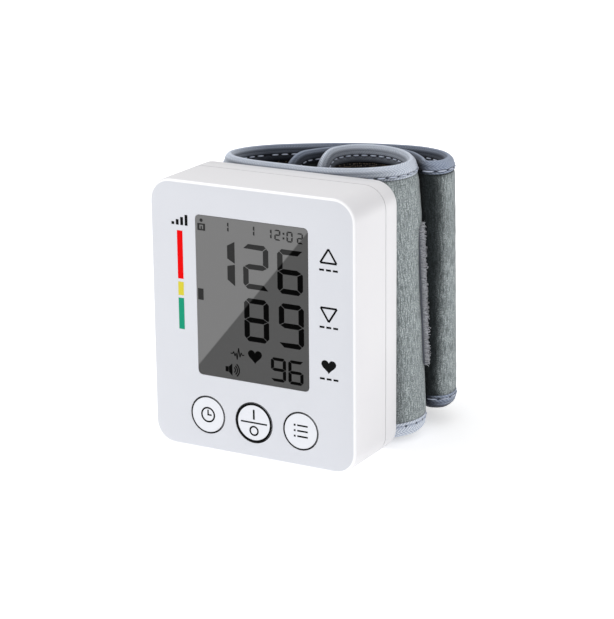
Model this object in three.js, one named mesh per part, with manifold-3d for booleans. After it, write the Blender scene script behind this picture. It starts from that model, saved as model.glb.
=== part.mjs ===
// Wrist blood pressure monitor: a moulded housing with a display and three keys, on a folded cuff.
// Millimetres, +Z up. The origin is the centre of the housing's bottom face, and the face looks along -Y.

import * as THREE from 'three';
import { mergeVertices } from 'three/addons/utils/BufferGeometryUtils.js';
import Module from 'manifold-3d';

const wasm = await Module();
wasm.setup();

// Housing
const housingWidth = 65;
const housingHeight = 78;
const frontShellDepth = 17.8;
const rearShellDepth = 6.9;
const housingCorner = 6.6;
const faceThickness = 2;
const sideWall = 1.8;
const backWall = 1.5;
const faceEdgeRadius = 0.9;
const backEdgeRadius = 0.6;
const seamGap = 0.3;
const lipReach = 1.4;
const lipThickness = 0.7;
const lipClearance = 0.2;

// Display
const windowRightMargin = 14.5;
const windowTopMargin = 9.3;
const windowLowZ = 22.5;
const windowCorner = 1.2;
const windowThickness = 1.2;
const windowLedge = 0.9;
const windowGap = 0.1;
const panelMargin = 0.6;
const panelThickness = 2.6;
const panelGlass = 1.1;
const panelContactEdge = 2.2;
const frameWall = 0.6;
const frameSideGap = 0.5;
const frameLedge = 2;
const frameLedgeThickness = 0.8;
const stripHeight = 2.5;
const stripWidth = 1.8;
const stripMargin = 1.5;

// Keys
const keyCentreZ = 10.66;
const keyRowOverhang = 2.6;
const keySpacing = 3.9;
const largeKeyExtra = 0.4;
const keyGap = 0.3;
const keyEdge = 0.25;
const keyFlange = 0.9;
const keyFlangeThickness = 0.8;
const keyFlangeInset = 1.15;
const keyStemRadius = 1.6;
const keyStopGap = 0.05;
const keyTravel = 0.5;
const switchWidth = 4.6;
const switchHeight = 1.5;
const plungerRadius = 0.9;
const plungerReach = 0.5;
const plungerSeat = 0.3;
const plungerGap = 0.1;

// Board and what is soldered to it
const boardThickness = 1;
const boardCorner = 1.5;
const boardLowMargin = 3.2;
const boardHighMargin = 3.2;
const boardRightMargin = 10.1;
const boardBossRadius = 1.9;
const boardBossDrop = 4.75;
const boardPinX = 12;
const boardPinDrop = 5;
const boardPinRadius = 0.8;
const boardHoleGap = 0.2;
const chipWidth = 9;
const chipThickness = 1.4;
const chipSideMargin = 6;
const chipDrop = 12;
const sensorWidth = 7;
const sensorDepth = 4;
const sensorHeight = 7;
const sensorLowZ = 8.8;
const buzzerRadius = 4.5;
const buzzerHeight = 2.6;
const buzzerSideMargin = 6.9;
const buzzerDrop = 12;
const valveWidth = 8.5;
const valveHeight = 8;
const valveDepth = 8;
const valveGap = 1.05;

// Pump and air path
const motorRadius = 6;
const motorLength = 18;
const motorFlat = 5.2;
const headRadius = 6.5;
const headLength = 11;
const headCover = 2.4;
const headCoverInset = 0.5;
const pumpSideGap = 2.7;
const pumpDrop = 22;
const pumpBackGap = 0.6;
const pumpJointGap = 0.1;
const cradleThickness = 1.4;
const cradleGap = 0.3;
const cradleMargin = 1.2;
const spigotRadius = 1.2;
const spigotReach = 2.6;
const hoseWall = 0.9;
const hoseGap = 0.15;
const hoseSides = 8;
const hoseSteps = 10;
const manifoldWidth = 10;
const manifoldHeight = 5;
const manifoldDepth = 5;
const manifoldEnd = 2.6;
const manifoldZ = 27.7;
const nippleX = -3.5;
const nippleZ = 16.5;
const nippleFlangeRadius = 4;
const nippleStemRadius = 2.1;

// Batteries
const cellRadius = 5.1;
const cellNub = 1.2;
const cellNubRadius = 2.7;
const cellEdge = 0.5;
const cellGap = 0.3;
const traySheet = 0.8;
const trayPlate = 1.2;
const trayEndMargin = 14.35;
const traySeatGap = 0.25;
const contactSheet = 0.4;
const contactWidth = 8;
const springRadius = 3.2;
const springTipRadius = 1.9;
const springWire = 0.35;
const springRise = 3.7;
const springTurns = 3;
const coverThickness = 1.6;
const coverGap = 0.3;
const coverTabWidth = 5;
const coverTabThickness = 1;
const coverTabReach = 3;
const coverTabMargin = 1.45;
const coverTabY = 5;
const coverGripWidth = 10;
const coverGripHeight = 0.9;
const coverGripDepth = 0.4;
const coverGripPitch = 2.2;
const coverGripCount = 4;
const coverGripMargin = 4;

// Screws
const shellScrewRadius = 1;
const shellScrewHead = 2;
const shellScrewHeadHeight = 1.5;
const shellScrewLength = 11;
const shellScrewSeat = 3.2;
const shellBossRadius = 2.9;
const shellBossMargin = 5.1;
const screwGap = 0.15;
const smallScrewRadius = 0.8;
const smallScrewHead = 1.6;
const smallScrewHeadHeight = 1.1;
const boardScrewLength = 4;
const cuffScrewX = 8.5;
const cuffScrewEndMargin = 13;
const cuffScrewCentreX = -3.5;
const cuffBossRadius = 2;
const cuffBossGap = 0.3;

// Cuff strip
const cuffLowZ = 1.3;
const cuffTopOverhang = 2.3;
const cuffReach = 68;
const cuffDepth = 40;
const cuffThickness = 3.5;
const cuffSeatGap = 0.3;
const cuffLayerGap = 0.45;
const cuffCorner = 12;
const rollFlare = 4.4;
const rollRise = 1.3;
const flapRaise = 3.7;
const tapeThickness = 0.3;
const tapeHeight = 3.9;
const sheetGap = 0.1;
const sheetEdgeGap = 0.3;
const pileThickness = 1;
const stiffenerThickness = 0.5;
const bladderThickness = 0.5;
const innerMargin = 2;
const foldCutGap = 0.3;
const hookThickness = 1.2;
const hookHeight = 42;
const hookCorner = 2;
const hookRaise = 3.5;
const hookGap = 0.2;
const foldStartShare = 0.412;
const foldEndShare = 0.498;
const hookStartShare = 0.177;
const hookEndShare = 0.198;
const bladderStartShare = 0.07;
const stiffenerStartShare = 0.14;
const innerEndShare = 0.402;

// How round things are cut into flats, and how far a cut runs past the face that it opens
const roundSides = 32;
const cellSides = 20;
const smallSides = 12;
const screwSides = 10;
const wireSides = 6;
const wireStepsPerTurn = 8;
const cornerSteps = 8;
const smallCornerSteps = 3;
const edgeSteps = 3;
const overrun = 1;
const weldDistance = 1e-5;

// The route of the cuff seen from above, from the short end's tip to the long end's tip.
// Each row: across as a share of the reach and as layers of fabric, back as a share of the depth and as
// layers, how far the lower edge moves across and back as shares of the flare, the share of the roll's
// rise that the top edge has, and the share of the flap's raise that the lower edge has.
const routeShares = [
  [0.040, 0.00, 0.075, 1.5, 0.0, 0.0, 0.6, 0.00],
  [0.014, 0.00, 0.230, 1.6, 0.0, 0.0, 0.8, 0.00],
  [0.016, 0.00, 0.400, 1.6, 0.0, 0.0, 1.0, 0.00],
  [0.062, 0.00, 0.540, 1.6, 0.0, 0.0, 1.0, 0.00],
  [0.160, 0.00, 0.600, 1.6, 0.0, 0.0, 1.0, 0.00],
  [0.262, 0.00, 0.565, 1.6, 0.1, -0.1, 1.0, 0.10],
  [0.352, 0.00, 0.455, 1.5, 0.5, -0.2, 1.0, 0.20],
  [0.408, 0.00, 0.310, 1.2, 1.0, -0.3, 1.0, 0.25],
  [0.396, 0.00, 0.165, 0.9, 1.2, -0.3, 0.9, 0.20],
  [0.302, 0.00, 0.057, 0.6, 1.1, -0.4, 0.6, 0.00],
  [0.165, 0.00, 0.008, 0.5, 0.5, -0.1, 0.2, 0.00],
  [0.060, 0.00, 0.000, 0.5, 0.0, 0.0, 0.0, 0.00],
  [-0.050, 0.00, 0.000, 0.5, 0.0, 0.0, 0.0, 0.10],
  [-0.160, 0.00, 0.000, 0.5, 0.0, 0.0, 0.0, 0.25],
  [-0.255, 0.00, 0.017, 0.5, 0.0, 0.0, 0.0, 0.45],
  [-0.345, 0.00, 0.080, 0.5, 0.0, 0.0, 0.0, 0.65],
  [-0.386, 0.00, 0.185, 0.5, 0.0, 0.0, 0.0, 0.85],
  [-0.365, 0.00, 0.335, 0.6, 0.0, 0.0, 0.0, 0.95],
  [-0.290, 0.00, 0.445, 1.1, 0.0, 0.0, 0.0, 1.00],
  [-0.158, 0.00, 0.500, 2.2, 0.0, 0.0, 0.0, 1.00],
  [-0.005, 0.00, 0.555, 3.1, 0.0, 0.0, 0.0, 1.00],
  [0.165, 0.00, 0.600, 3.6, 0.0, 0.0, 0.0, 1.00],
  [0.303, 0.00, 0.630, 3.6, 0.1, 0.0, 0.0, 1.10],
  [0.374, 0.77, 0.585, 3.4, 0.25, 0.0, 0.0, 1.10],
  [0.392, 1.60, 0.490, 3.0, 0.3, 0.0, 0.0, 1.10],
  [0.392, 1.60, 0.380, 2.6, 0.3, 0.0, 0.0, 1.10],
  [0.362, 1.25, 0.372, 2.17, 0.3, 0.1, 0.0, 1.10],
  [0.325, 1.07, 0.465, 2.2, 0.1, 0.2, 0.0, 1.10],
  [0.250, 0.70, 0.560, 2.6, 0.0, 0.0, 0.0, 1.00],
  [0.150, 0.20, 0.595, 2.6, 0.0, 0.0, 0.0, 1.00],
  [0.045, -0.30, 0.535, 2.6, 0.0, 0.0, 0.0, 1.00],
  [-0.020, -0.60, 0.420, 2.3, 0.0, 0.0, 0.0, 1.00],
  [-0.060, -0.90, 0.290, 1.9, 0.0, 0.0, 0.0, 1.00],
  [-0.075, -0.90, 0.160, 1.7, 0.0, 0.0, 0.0, 1.00],
  [-0.066, -0.90, 0.060, 1.5, 0.0, 0.0, 0.0, 1.00],
];

// Places that follow from the sizes above
const housingDepth = frontShellDepth + rearShellDepth;
const frontY = -housingDepth / 2;
const backY = housingDepth / 2;
const seamY = frontY + frontShellDepth;
const faceInnerY = frontY + faceThickness;
const backInnerY = backY - backWall;
const leftX = -housingWidth / 2;
const rightX = housingWidth / 2;
const panelFrontY = faceInnerY + cradleGap;
const panelBackY = panelFrontY + panelThickness;
const boardFrontY = panelBackY + stripHeight;
const boardBackY = boardFrontY + boardThickness;
const pumpY = backInnerY - pumpBackGap - headRadius;
const hoseBore = spigotRadius + hoseGap;
const hoseRadius = hoseBore + hoseWall;
const manifoldY = boardBackY + hoseRadius + cradleGap + hoseGap;
const coverInnerX = leftX + coverThickness;
const cellCentreX = coverInnerX + cellGap + cellRadius;
const trayWebX = cellCentreX + cellRadius + cellGap;
const trayRightX = trayWebX + traySheet;
const trayLowZ = trayEndMargin;
const trayHighZ = housingHeight - trayEndMargin;
const cellBody = trayHighZ - trayLowZ - 2 * contactSheet - springRise - cellNub - cellGap;
const cellFrontY = faceInnerY + (backInnerY - faceInnerY) / 4;
const cellBackY = backInnerY - (backInnerY - faceInnerY) / 4;
const boardLeftX = trayRightX + cellGap;
const boardRightX = rightX - boardRightMargin;
const boardPinZ = housingHeight - boardPinDrop;
const boardBossZ = windowLowZ - boardBossDrop;

// The window lies between the battery tray and the right-hand wall, and the row of keys spans it
const windowLeftX = trayRightX + frameSideGap + frameWall + windowGap + panelMargin;
const windowRightX = rightX - windowRightMargin;
const windowWidth = windowRightX - windowLeftX;
const windowHeight = housingHeight - windowTopMargin - windowLowZ;
const windowCentreX = (windowLeftX + windowRightX) / 2;
const windowCentreZ = windowLowZ + windowHeight / 2;
const keyRowWidth = windowWidth + 2 * keyRowOverhang;
const smallKeyRadius = (keyRowWidth - 2 * keySpacing - 2 * largeKeyExtra) / 6;
const largeKeyRadius = smallKeyRadius + largeKeyExtra;
const keyPitch = smallKeyRadius + largeKeyRadius + keySpacing;
const keyCentreX = windowCentreX;
const cuffSeatY = backY + cuffSeatGap;
const cuffPitch = cuffThickness + cuffLayerGap;
const cuffHeight = housingHeight + cuffTopOverhang - cuffLowZ;

const group = new THREE.Group();

// Finishes
function finish(colour, roughness, metalness = 0) {
  return new THREE.MeshStandardMaterial({ color: colour, roughness, metalness });
}

const whitePlastic = () => finish('#eceef2', 0.35);
const greyPlastic = () => finish('#b9bdc2', 0.5);
const darkPlastic = () => finish('#2a2c2f', 0.5);
const rubber = () => finish('#4b4d50', 0.7);
const steel = () => finish('#b7babd', 0.35, 1);
const greenBoard = () => finish('#2f6b3f', 0.5);
const loopPile = () => finish('#8f9898', 0.95);
const darkMesh = () => finish('#26262a', 0.9);
const twillTape = () => finish('#9aa3b8', 0.85);

function addPart(name, geometry, material) {
  const mesh = new THREE.Mesh(geometry, material);
  mesh.name = name;
  group.add(mesh);
}

// Solids

function signedVolume(geometry) {
  const position = geometry.attributes.position;
  const index = geometry.index;
  const corners = [new THREE.Vector3(), new THREE.Vector3(), new THREE.Vector3()];
  let volume = 0;
  for (let i = 0; i < index.count; i += 3) {
    corners.forEach((corner, k) => corner.fromBufferAttribute(position, index.getX(i + k)));
    volume += corners[0].dot(corners[1].cross(corners[2])) / 6;
  }
  return volume;
}

// A welded copy of a closed surface with its faces pointing out
function welded(geometry) {
  const bare = geometry.clone();
  bare.deleteAttribute('normal');
  bare.deleteAttribute('uv');
  const merged = mergeVertices(bare, weldDistance);
  if (signedVolume(merged) < 0) {
    const array = merged.index.array;
    for (let i = 0; i < array.length; i += 3) {
      [array[i + 1], array[i + 2]] = [array[i + 2], array[i + 1]];
    }
  }
  return merged;
}

function solidOf(geometry) {
  const closed = welded(geometry);
  return new wasm.Manifold(new wasm.Mesh({
    numProp: 3,
    vertProperties: new Float32Array(closed.attributes.position.array),
    triVerts: new Uint32Array(closed.index.array),
  }));
}

function geometryOf(solid) {
  const mesh = solid.getMesh();
  const geometry = new THREE.BufferGeometry();
  geometry.setAttribute('position', new THREE.BufferAttribute(mesh.vertProperties, 3));
  geometry.setIndex(new THREE.BufferAttribute(mesh.triVerts, 1));
  return geometry;
}

function joined(...geometries) {
  return geometryOf(geometries.map(solidOf).reduce((all, one) => all.add(one)));
}

function cutFrom(base, ...tools) {
  return geometryOf(tools.map(solidOf).reduce((left, tool) => left.subtract(tool), solidOf(base)));
}

function keptInside(base, limit) {
  return geometryOf(solidOf(base).intersect(solidOf(limit)));
}

function boxBetween(lowX, highX, lowY, highY, lowZ, highZ) {
  const box = new THREE.BoxGeometry(highX - lowX, highY - lowY, highZ - lowZ);
  return box.translate((lowX + highX) / 2, (lowY + highY) / 2, (lowZ + highZ) / 2);
}

function rodAlongY(radius, x, z, lowY, highY, sides = smallSides) {
  const rod = new THREE.CylinderGeometry(radius, radius, highY - lowY, sides);
  return rod.translate(x, (lowY + highY) / 2, z);
}

function rodAlongX(radius, y, z, lowX, highX, sides = smallSides) {
  const rod = new THREE.CylinderGeometry(radius, radius, highX - lowX, sides);
  return rod.rotateZ(Math.PI / 2).translate((lowX + highX) / 2, y, z);
}

function rodAlongZ(radius, x, y, lowZ, highZ, sides = smallSides) {
  const rod = new THREE.CylinderGeometry(radius, radius, highZ - lowZ, sides);
  return rod.rotateX(Math.PI / 2).translate(x, y, (lowZ + highZ) / 2);
}

// A body turned round an axis along Y; the profile lists radius and distance back from startY
function turnedAlongY(profile, x, startY, z, sides = smallSides) {
  const points = profile.map(([radius, back]) => new THREE.Vector2(radius, back));
  return welded(new THREE.LatheGeometry(points, sides)).translate(x, startY, z);
}

// The corner points of a rounded rectangle in the XZ plane at a given depth
function roundedRing(width, height, corner, x, y, z, steps) {
  const ring = [];
  const turns = [[1, 1], [-1, 1], [-1, -1], [1, -1]];
  turns.forEach(([sideX, sideZ], quarter) => {
    for (let step = 0; step <= steps; step += 1) {
      const angle = (quarter + step / steps) * Math.PI / 2;
      ring.push(new THREE.Vector3(
        x + sideX * (width / 2 - corner) + corner * Math.cos(angle),
        y,
        z + sideZ * (height / 2 - corner) + corner * Math.sin(angle),
      ));
    }
  });
  return ring;
}

// A closed skin over rings of points; the section gives the faces of its two ends. The quads on the way
// up the section and on the way down are cut along the same diagonal, so that facing layers stay parallel.
function lofted(rings, section) {
  const count = rings[0].length;
  const positions = rings.flat().flatMap((point) => [point.x, point.y, point.z]);
  const triangles = [];
  for (let ring = 0; ring + 1 < rings.length; ring += 1) {
    for (let i = 0; i < count; i += 1) {
      const a = ring * count + i;
      const b = ring * count + (i + 1) % count;
      if (section[(i + 1) % count].y < section[i].y) {
        triangles.push(a, b, b + count, a, b + count, a + count);
      } else {
        triangles.push(a, b, a + count, b, b + count, a + count);
      }
    }
  }
  const last = (rings.length - 1) * count;
  THREE.ShapeUtils.triangulateShape(section, []).forEach(([a, b, c]) => {
    triangles.push(a, c, b, last + a, last + b, last + c);
  });
  const geometry = new THREE.BufferGeometry();
  geometry.setAttribute('position', new THREE.Float32BufferAttribute(positions, 3));
  geometry.setIndex(triangles);
  return welded(geometry);
}

function loftedRings(rings) {
  const section = rings[0].map((point) => new THREE.Vector2(point.x, point.z));
  return lofted(rings, section);
}

// A rounded block between two depths
function roundedBlock(width, height, corner, x, z, lowY, highY) {
  return loftedRings([lowY, highY].map((y) => roundedRing(width, height, corner, x, y, z, smallCornerSteps)));
}

// Housing shells

// The housing's outline at a depth, drawn in all round by an inset
function housingRing(inset, y) {
  return roundedRing(
    housingWidth - 2 * inset, housingHeight - 2 * inset, housingCorner - inset,
    0, y, housingHeight / 2, cornerSteps,
  );
}

function housingBlock(inset, lowY, highY) {
  return loftedRings([housingRing(inset, lowY), housingRing(inset, highY)]);
}

// Rings that round the edge of a face over a quarter circle, from the face inwards
function edgeRings(radius, faceY, direction) {
  const rings = [];
  for (let step = 0; step <= edgeSteps; step += 1) {
    const angle = step / edgeSteps * Math.PI / 2;
    rings.push(housingRing(
      radius * (1 - Math.sin(angle)), faceY + direction * radius * (1 - Math.cos(angle)),
    ));
  }
  return rings;
}

const shellScrewPlaces = [[-1, -1], [1, -1], [-1, 1], [1, 1]].map(([sideX, sideZ]) => {
  const shift = (housingCorner - shellBossMargin) / Math.SQRT2;
  return {
    x: sideX * (housingWidth / 2 - housingCorner + shift),
    z: housingHeight / 2 + sideZ * (housingHeight / 2 - housingCorner + shift),
  };
});
const keyPlaces = [
  { name: 'left', x: keyCentreX - keyPitch, radius: smallKeyRadius },
  { name: 'middle', x: keyCentreX, radius: largeKeyRadius },
  { name: 'right', x: keyCentreX + keyPitch, radius: smallKeyRadius },
];
const boardScrewPlaces = [-1, 1].map((side) => ({ x: keyCentreX + side * keyPitch / 2, z: boardBossZ }));
const boardPinPlaces = [-1, 1].map((side) => ({ x: side * boardPinX, z: boardPinZ }));
const cuffScrewPlaces = [[-1, -1], [1, -1], [-1, 1], [1, 1]].map(([sideX, sideZ]) => ({
  x: cuffScrewCentreX + sideX * cuffScrewX,
  z: housingHeight / 2 + sideZ * (housingHeight / 2 - cuffScrewEndMargin),
}));
const shellSplitY = seamY + lipReach;
const shellScrewHeadY = backY - shellScrewSeat;
const lowTabZ = trayLowZ - trayPlate - coverGap - coverTabThickness;
const highTabZ = trayHighZ + trayPlate + coverGap;
const coverLowZ = lowTabZ - coverTabMargin;
const coverHighZ = highTabZ + coverTabThickness + coverTabMargin;

// The mouth in the left wall that the battery cover closes
function coverMouth() {
  return boxBetween(
    leftX - overrun, leftX + sideWall + overrun, faceInnerY, backInnerY,
    coverLowZ - coverGap, coverHighZ + coverGap,
  );
}

function makeFrontShell() {
  const endY = seamY - seamGap / 2;
  const block = loftedRings([...edgeRings(faceEdgeRadius, frontY, 1), housingRing(0, endY)]);
  const room = housingBlock(sideWall, faceInnerY, endY + overrun);
  const rebate = housingBlock(
    sideWall - lipThickness - lipClearance, seamY - lipReach - lipClearance, endY + overrun,
  );
  const windowPocket = roundedBlock(
    windowWidth + 2 * windowGap, windowHeight + 2 * windowGap, windowCorner + windowGap,
    windowCentreX, windowCentreZ, frontY - overrun, frontY + windowThickness + windowGap,
  );
  const windowHole = roundedBlock(
    windowWidth - 2 * windowLedge, windowHeight - 2 * windowLedge, windowCorner,
    windowCentreX, windowCentreZ, frontY - overrun, faceInnerY + overrun,
  );
  const keyHoles = keyPlaces.map(({ x, radius }) => (
    rodAlongY(radius + keyGap, x, keyCentreZ, frontY - overrun, faceInnerY + overrun, roundSides)
  ));
  const shell = cutFrom(block, room, rebate, windowPocket, windowHole, coverMouth(), ...keyHoles);
  const inside = housingBlock(sideWall / 2, faceInnerY - faceThickness / 2, seamY - lipReach - lipClearance);
  const bossEndY = shellSplitY - lipReach - lipClearance;
  const screwBosses = shellScrewPlaces.map(({ x, z }) => (
    keptInside(rodAlongY(shellBossRadius, x, z, faceInnerY - faceThickness / 2, bossEndY), inside)
  ));
  const boardBosses = boardScrewPlaces.map(({ x, z }) => (
    rodAlongY(boardBossRadius, x, z, faceInnerY - faceThickness / 2, boardFrontY)
  ));
  const pinBosses = boardPinPlaces.map(({ x, z }) => (
    rodAlongY(boardBossRadius, x, z, faceInnerY - faceThickness / 2, boardFrontY)
  ));
  const pins = boardPinPlaces.map(({ x, z }) => (
    rodAlongY(boardPinRadius, x, z, boardFrontY - boardThickness, boardBackY)
  ));
  const shellBores = shellScrewPlaces.map(({ x, z }) => rodAlongY(
    shellScrewRadius + screwGap, x, z, shellScrewHeadY - shellScrewLength - screwGap, seamY + overrun,
  ));
  const boardBores = boardScrewPlaces.map(({ x, z }) => rodAlongY(
    smallScrewRadius + screwGap, x, z, boardBackY - boardScrewLength - screwGap, boardFrontY + overrun,
  ));
  const whole = joined(shell, ...screwBosses, ...boardBosses, ...pinBosses, ...pins);
  addPart('front_shell', cutFrom(whole, ...shellBores, ...boardBores), whitePlastic());
}

// A rib on the rear shell, hollowed to carry the pump
function pumpCradle(x) {
  const rib = boxBetween(
    x - cradleThickness / 2, x + cradleThickness / 2, pumpY, backInnerY + backWall / 2,
    pumpZ - motorRadius - cradleMargin, pumpZ + motorRadius + cradleMargin,
  );
  const hollow = rodAlongX(motorRadius + cradleGap, pumpY, pumpZ, x - cradleThickness, x + cradleThickness);
  return cutFrom(rib, hollow);
}

const pumpZ = housingHeight - pumpDrop;
const headLeftX = trayRightX + pumpSideGap;
const headRightX = headLeftX + headLength;
const motorLeftX = headRightX + pumpJointGap;
const motorRightX = motorLeftX + motorLength;

function makeRearShell() {
  const startY = seamY + seamGap / 2;
  const block = loftedRings([...edgeRings(backEdgeRadius, backY, -1), housingRing(0, startY)]);
  const room = housingBlock(sideWall, startY - overrun, backInnerY);
  const lipOuter = sideWall - lipThickness;
  const lip = cutFrom(
    housingBlock(lipOuter, seamY - lipReach, startY + lipReach),
    housingBlock(sideWall, seamY - lipReach - overrun, startY + lipReach + overrun),
  );
  const inside = housingBlock(sideWall / 2, shellSplitY - lipReach, backInnerY + backWall / 2);
  const bosses = shellScrewPlaces.map(({ x, z }) => (
    keptInside(rodAlongY(shellBossRadius, x, z, seamY, backInnerY + backWall / 2), inside)
  ));
  const cradles = [motorLeftX + cradleMargin, motorRightX - cradleMargin].map(pumpCradle);
  const whole = joined(cutFrom(block, room), lip, ...bosses, ...cradles);
  const headHoles = shellScrewPlaces.map(({ x, z }) => (
    rodAlongY(shellScrewHead + screwGap, x, z, shellScrewHeadY, backY + overrun)
  ));
  const shankHoles = shellScrewPlaces.map(({ x, z }) => (
    rodAlongY(shellScrewRadius + screwGap, x, z, seamY - lipReach - overrun, backY)
  ));
  const cuffHoles = cuffScrewPlaces.map(({ x, z }) => (
    rodAlongY(smallScrewRadius + screwGap, x, z, backInnerY - overrun, backY + overrun)
  ));
  const nippleHole = rodAlongY(
    nippleStemRadius + screwGap, nippleX, nippleZ, backInnerY - overrun, backY + overrun,
  );
  addPart(
    'rear_shell',
    cutFrom(whole, coverMouth(), ...headHoles, ...shankHoles, ...cuffHoles, nippleHole),
    whitePlastic(),
  );
}

// A pan-head screw whose head seats at a depth; it points along -Y or, with direction 1, along +Y
function screw(x, seatY, z, shankRadius, headRadius, headHeight, length, direction) {
  const dome = headHeight / 4;
  const profile = [
    [0, -headHeight], [headRadius - dome, -headHeight], [headRadius, dome - headHeight], [headRadius, 0],
    [shankRadius, 0], [shankRadius, length - shankRadius], [shankRadius / 2, length], [0, length],
  ];
  const facing = profile.map(([radius, back]) => [radius, back * direction]);
  return turnedAlongY(facing, x, seatY, z, screwSides);
}

function makeShellScrews() {
  shellScrewPlaces.forEach(({ x, z }, i) => addPart(`shell_screw_${i + 1}`, screw(
    x, shellScrewHeadY, z, shellScrewRadius, shellScrewHead, shellScrewHeadHeight, shellScrewLength, -1,
  ), steel()));
}

// Display

function makeDisplay() {
  addPart('lcd_window', roundedBlock(
    windowWidth, windowHeight, windowCorner, windowCentreX, windowCentreZ, frontY, frontY + windowThickness,
  ), finish('#6f7173', 0.15));

  const panelWidth = windowWidth + 2 * panelMargin;
  const panelHeight = windowHeight + 2 * panelMargin;
  const lowX = windowCentreX - panelWidth / 2;
  const lowZ = windowCentreZ - panelHeight / 2;
  const highX = lowX + panelWidth;
  const highZ = lowZ + panelHeight;
  const backGlass = boxBetween(lowX, highX, panelFrontY + panelGlass, panelBackY, lowZ, highZ);
  const frontGlass = boxBetween(
    lowX, highX, panelFrontY, panelFrontY + panelThickness / 2,
    lowZ + panelContactEdge, highZ - panelContactEdge,
  );
  addPart('lcd_panel', joined(backGlass, frontGlass), finish('#8a9088', 0.2));

  const rimX = frameWall + windowGap;
  const rimZ = frameWall + windowGap;
  const ring = cutFrom(
    boxBetween(lowX - rimX, highX + rimX, panelFrontY, boardFrontY - windowGap, lowZ - rimZ, highZ + rimZ),
    boxBetween(
      lowX - windowGap, highX + windowGap, panelFrontY - overrun, boardFrontY + overrun,
      lowZ - windowGap, highZ + windowGap,
    ),
  );
  const ledges = [[lowX - rimX, lowX + frameLedge], [highX - frameLedge, highX + rimX]].map(([low, high]) => (
    boxBetween(
      low, high, panelBackY + windowGap, panelBackY + windowGap + frameLedgeThickness,
      lowZ - rimZ, highZ + rimZ,
    )
  ));
  addPart('lcd_frame', joined(ring, ...ledges), darkPlastic());

  const stripLowX = lowX + frameLedge + stripMargin;
  const stripHighX = highX - frameLedge - stripMargin;
  const strips = { upper: highZ - stripWidth, lower: lowZ };
  Object.entries(strips).forEach(([name, z]) => addPart(`contact_strip_${name}`, boxBetween(
    stripLowX, stripHighX, panelBackY, boardFrontY, z, z + stripWidth,
  ), rubber()));
}

// Keys, switches and board

function makeKeys() {
  const switchFrontY = boardFrontY - switchHeight;
  const plungerFrontY = switchFrontY - plungerReach;
  const flangeY = faceThickness + keyStopGap;
  const stemEnd = plungerFrontY - plungerGap - frontY;
  keyPlaces.forEach(({ name, x, radius }) => {
    const profile = [
      [0, 0], [radius - keyEdge, 0], [radius, keyEdge], [radius, flangeY],
      [keyStemRadius, flangeY], [keyStemRadius, stemEnd], [0, stemEnd],
    ];
    const cap = turnedAlongY(profile, x, frontY, keyCentreZ, roundSides);
    const flangeFrontY = frontY + flangeY;
    const flangeReach = radius - keyFlangeInset;
    const flange = keptInside(
      rodAlongY(
        radius + keyFlange, x, keyCentreZ, flangeFrontY, flangeFrontY + keyFlangeThickness, roundSides,
      ),
      boxBetween(x - flangeReach, x + flangeReach, frontY, boardFrontY, 0, housingHeight / 2),
    );
    addPart(`key_${name}`, joined(cap, flange), whitePlastic());

    const body = boxBetween(
      x - switchWidth / 2, x + switchWidth / 2, switchFrontY, boardFrontY,
      keyCentreZ - switchWidth / 2, keyCentreZ + switchWidth / 2,
    );
    const bore = rodAlongY(
      plungerRadius + plungerGap, x, keyCentreZ, switchFrontY - overrun,
      switchFrontY + plungerSeat + keyTravel + plungerGap,
    );
    addPart(`switch_${name}`, cutFrom(body, bore), steel());
    addPart(`plunger_${name}`, rodAlongY(
      plungerRadius, x, keyCentreZ, plungerFrontY, switchFrontY + plungerSeat,
    ), darkPlastic());
  });
}

function makeBoard() {
  const highZ = housingHeight - boardHighMargin;
  const blank = roundedBlock(
    boardRightX - boardLeftX, highZ - boardLowMargin, boardCorner,
    (boardRightX + boardLeftX) / 2, (highZ + boardLowMargin) / 2, boardFrontY, boardBackY,
  );
  const screwHoles = boardScrewPlaces.map(({ x, z }) => (
    rodAlongY(smallScrewRadius + screwGap, x, z, boardFrontY - overrun, boardBackY + overrun)
  ));
  const pinHoles = boardPinPlaces.map(({ x, z }) => (
    rodAlongY(boardPinRadius + boardHoleGap, x, z, boardFrontY - overrun, boardBackY + overrun)
  ));
  addPart('main_board', cutFrom(blank, ...screwHoles, ...pinHoles), greenBoard());
  boardScrewPlaces.forEach(({ x, z }, i) => addPart(`board_screw_${i + 1}`, screw(
    x, boardBackY, z, smallScrewRadius, smallScrewHead, smallScrewHeadHeight, boardScrewLength, -1,
  ), steel()));
  const chipLeftX = boardLeftX + chipSideMargin;
  const chipZ = housingHeight - chipDrop;
  addPart('controller_chip', boxBetween(
    chipLeftX, chipLeftX + chipWidth, boardBackY, boardBackY + chipThickness,
    chipZ - chipWidth / 2, chipZ + chipWidth / 2,
  ), darkPlastic());
  addPart('buzzer', rodAlongY(
    buzzerRadius, boardRightX - buzzerSideMargin, housingHeight - buzzerDrop,
    boardBackY, boardBackY + buzzerHeight, roundSides,
  ), darkPlastic());
}

// Pump, valve, sensor and the hoses between them

const manifoldTopZ = manifoldZ + manifoldHeight / 2;
const manifoldLowZ = manifoldZ - manifoldHeight / 2;
const manifoldLeftX = nippleX - manifoldEnd;
const manifoldRightX = manifoldLeftX + manifoldWidth;
const outletX = headLeftX + headCover;
const outletZ = pumpZ - headRadius - spigotReach;
const sensorX = manifoldRightX - manifoldEnd;
const valveLeftX = manifoldRightX + 2 * spigotReach + valveGap;
const valveRightX = valveLeftX + valveWidth;

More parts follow.
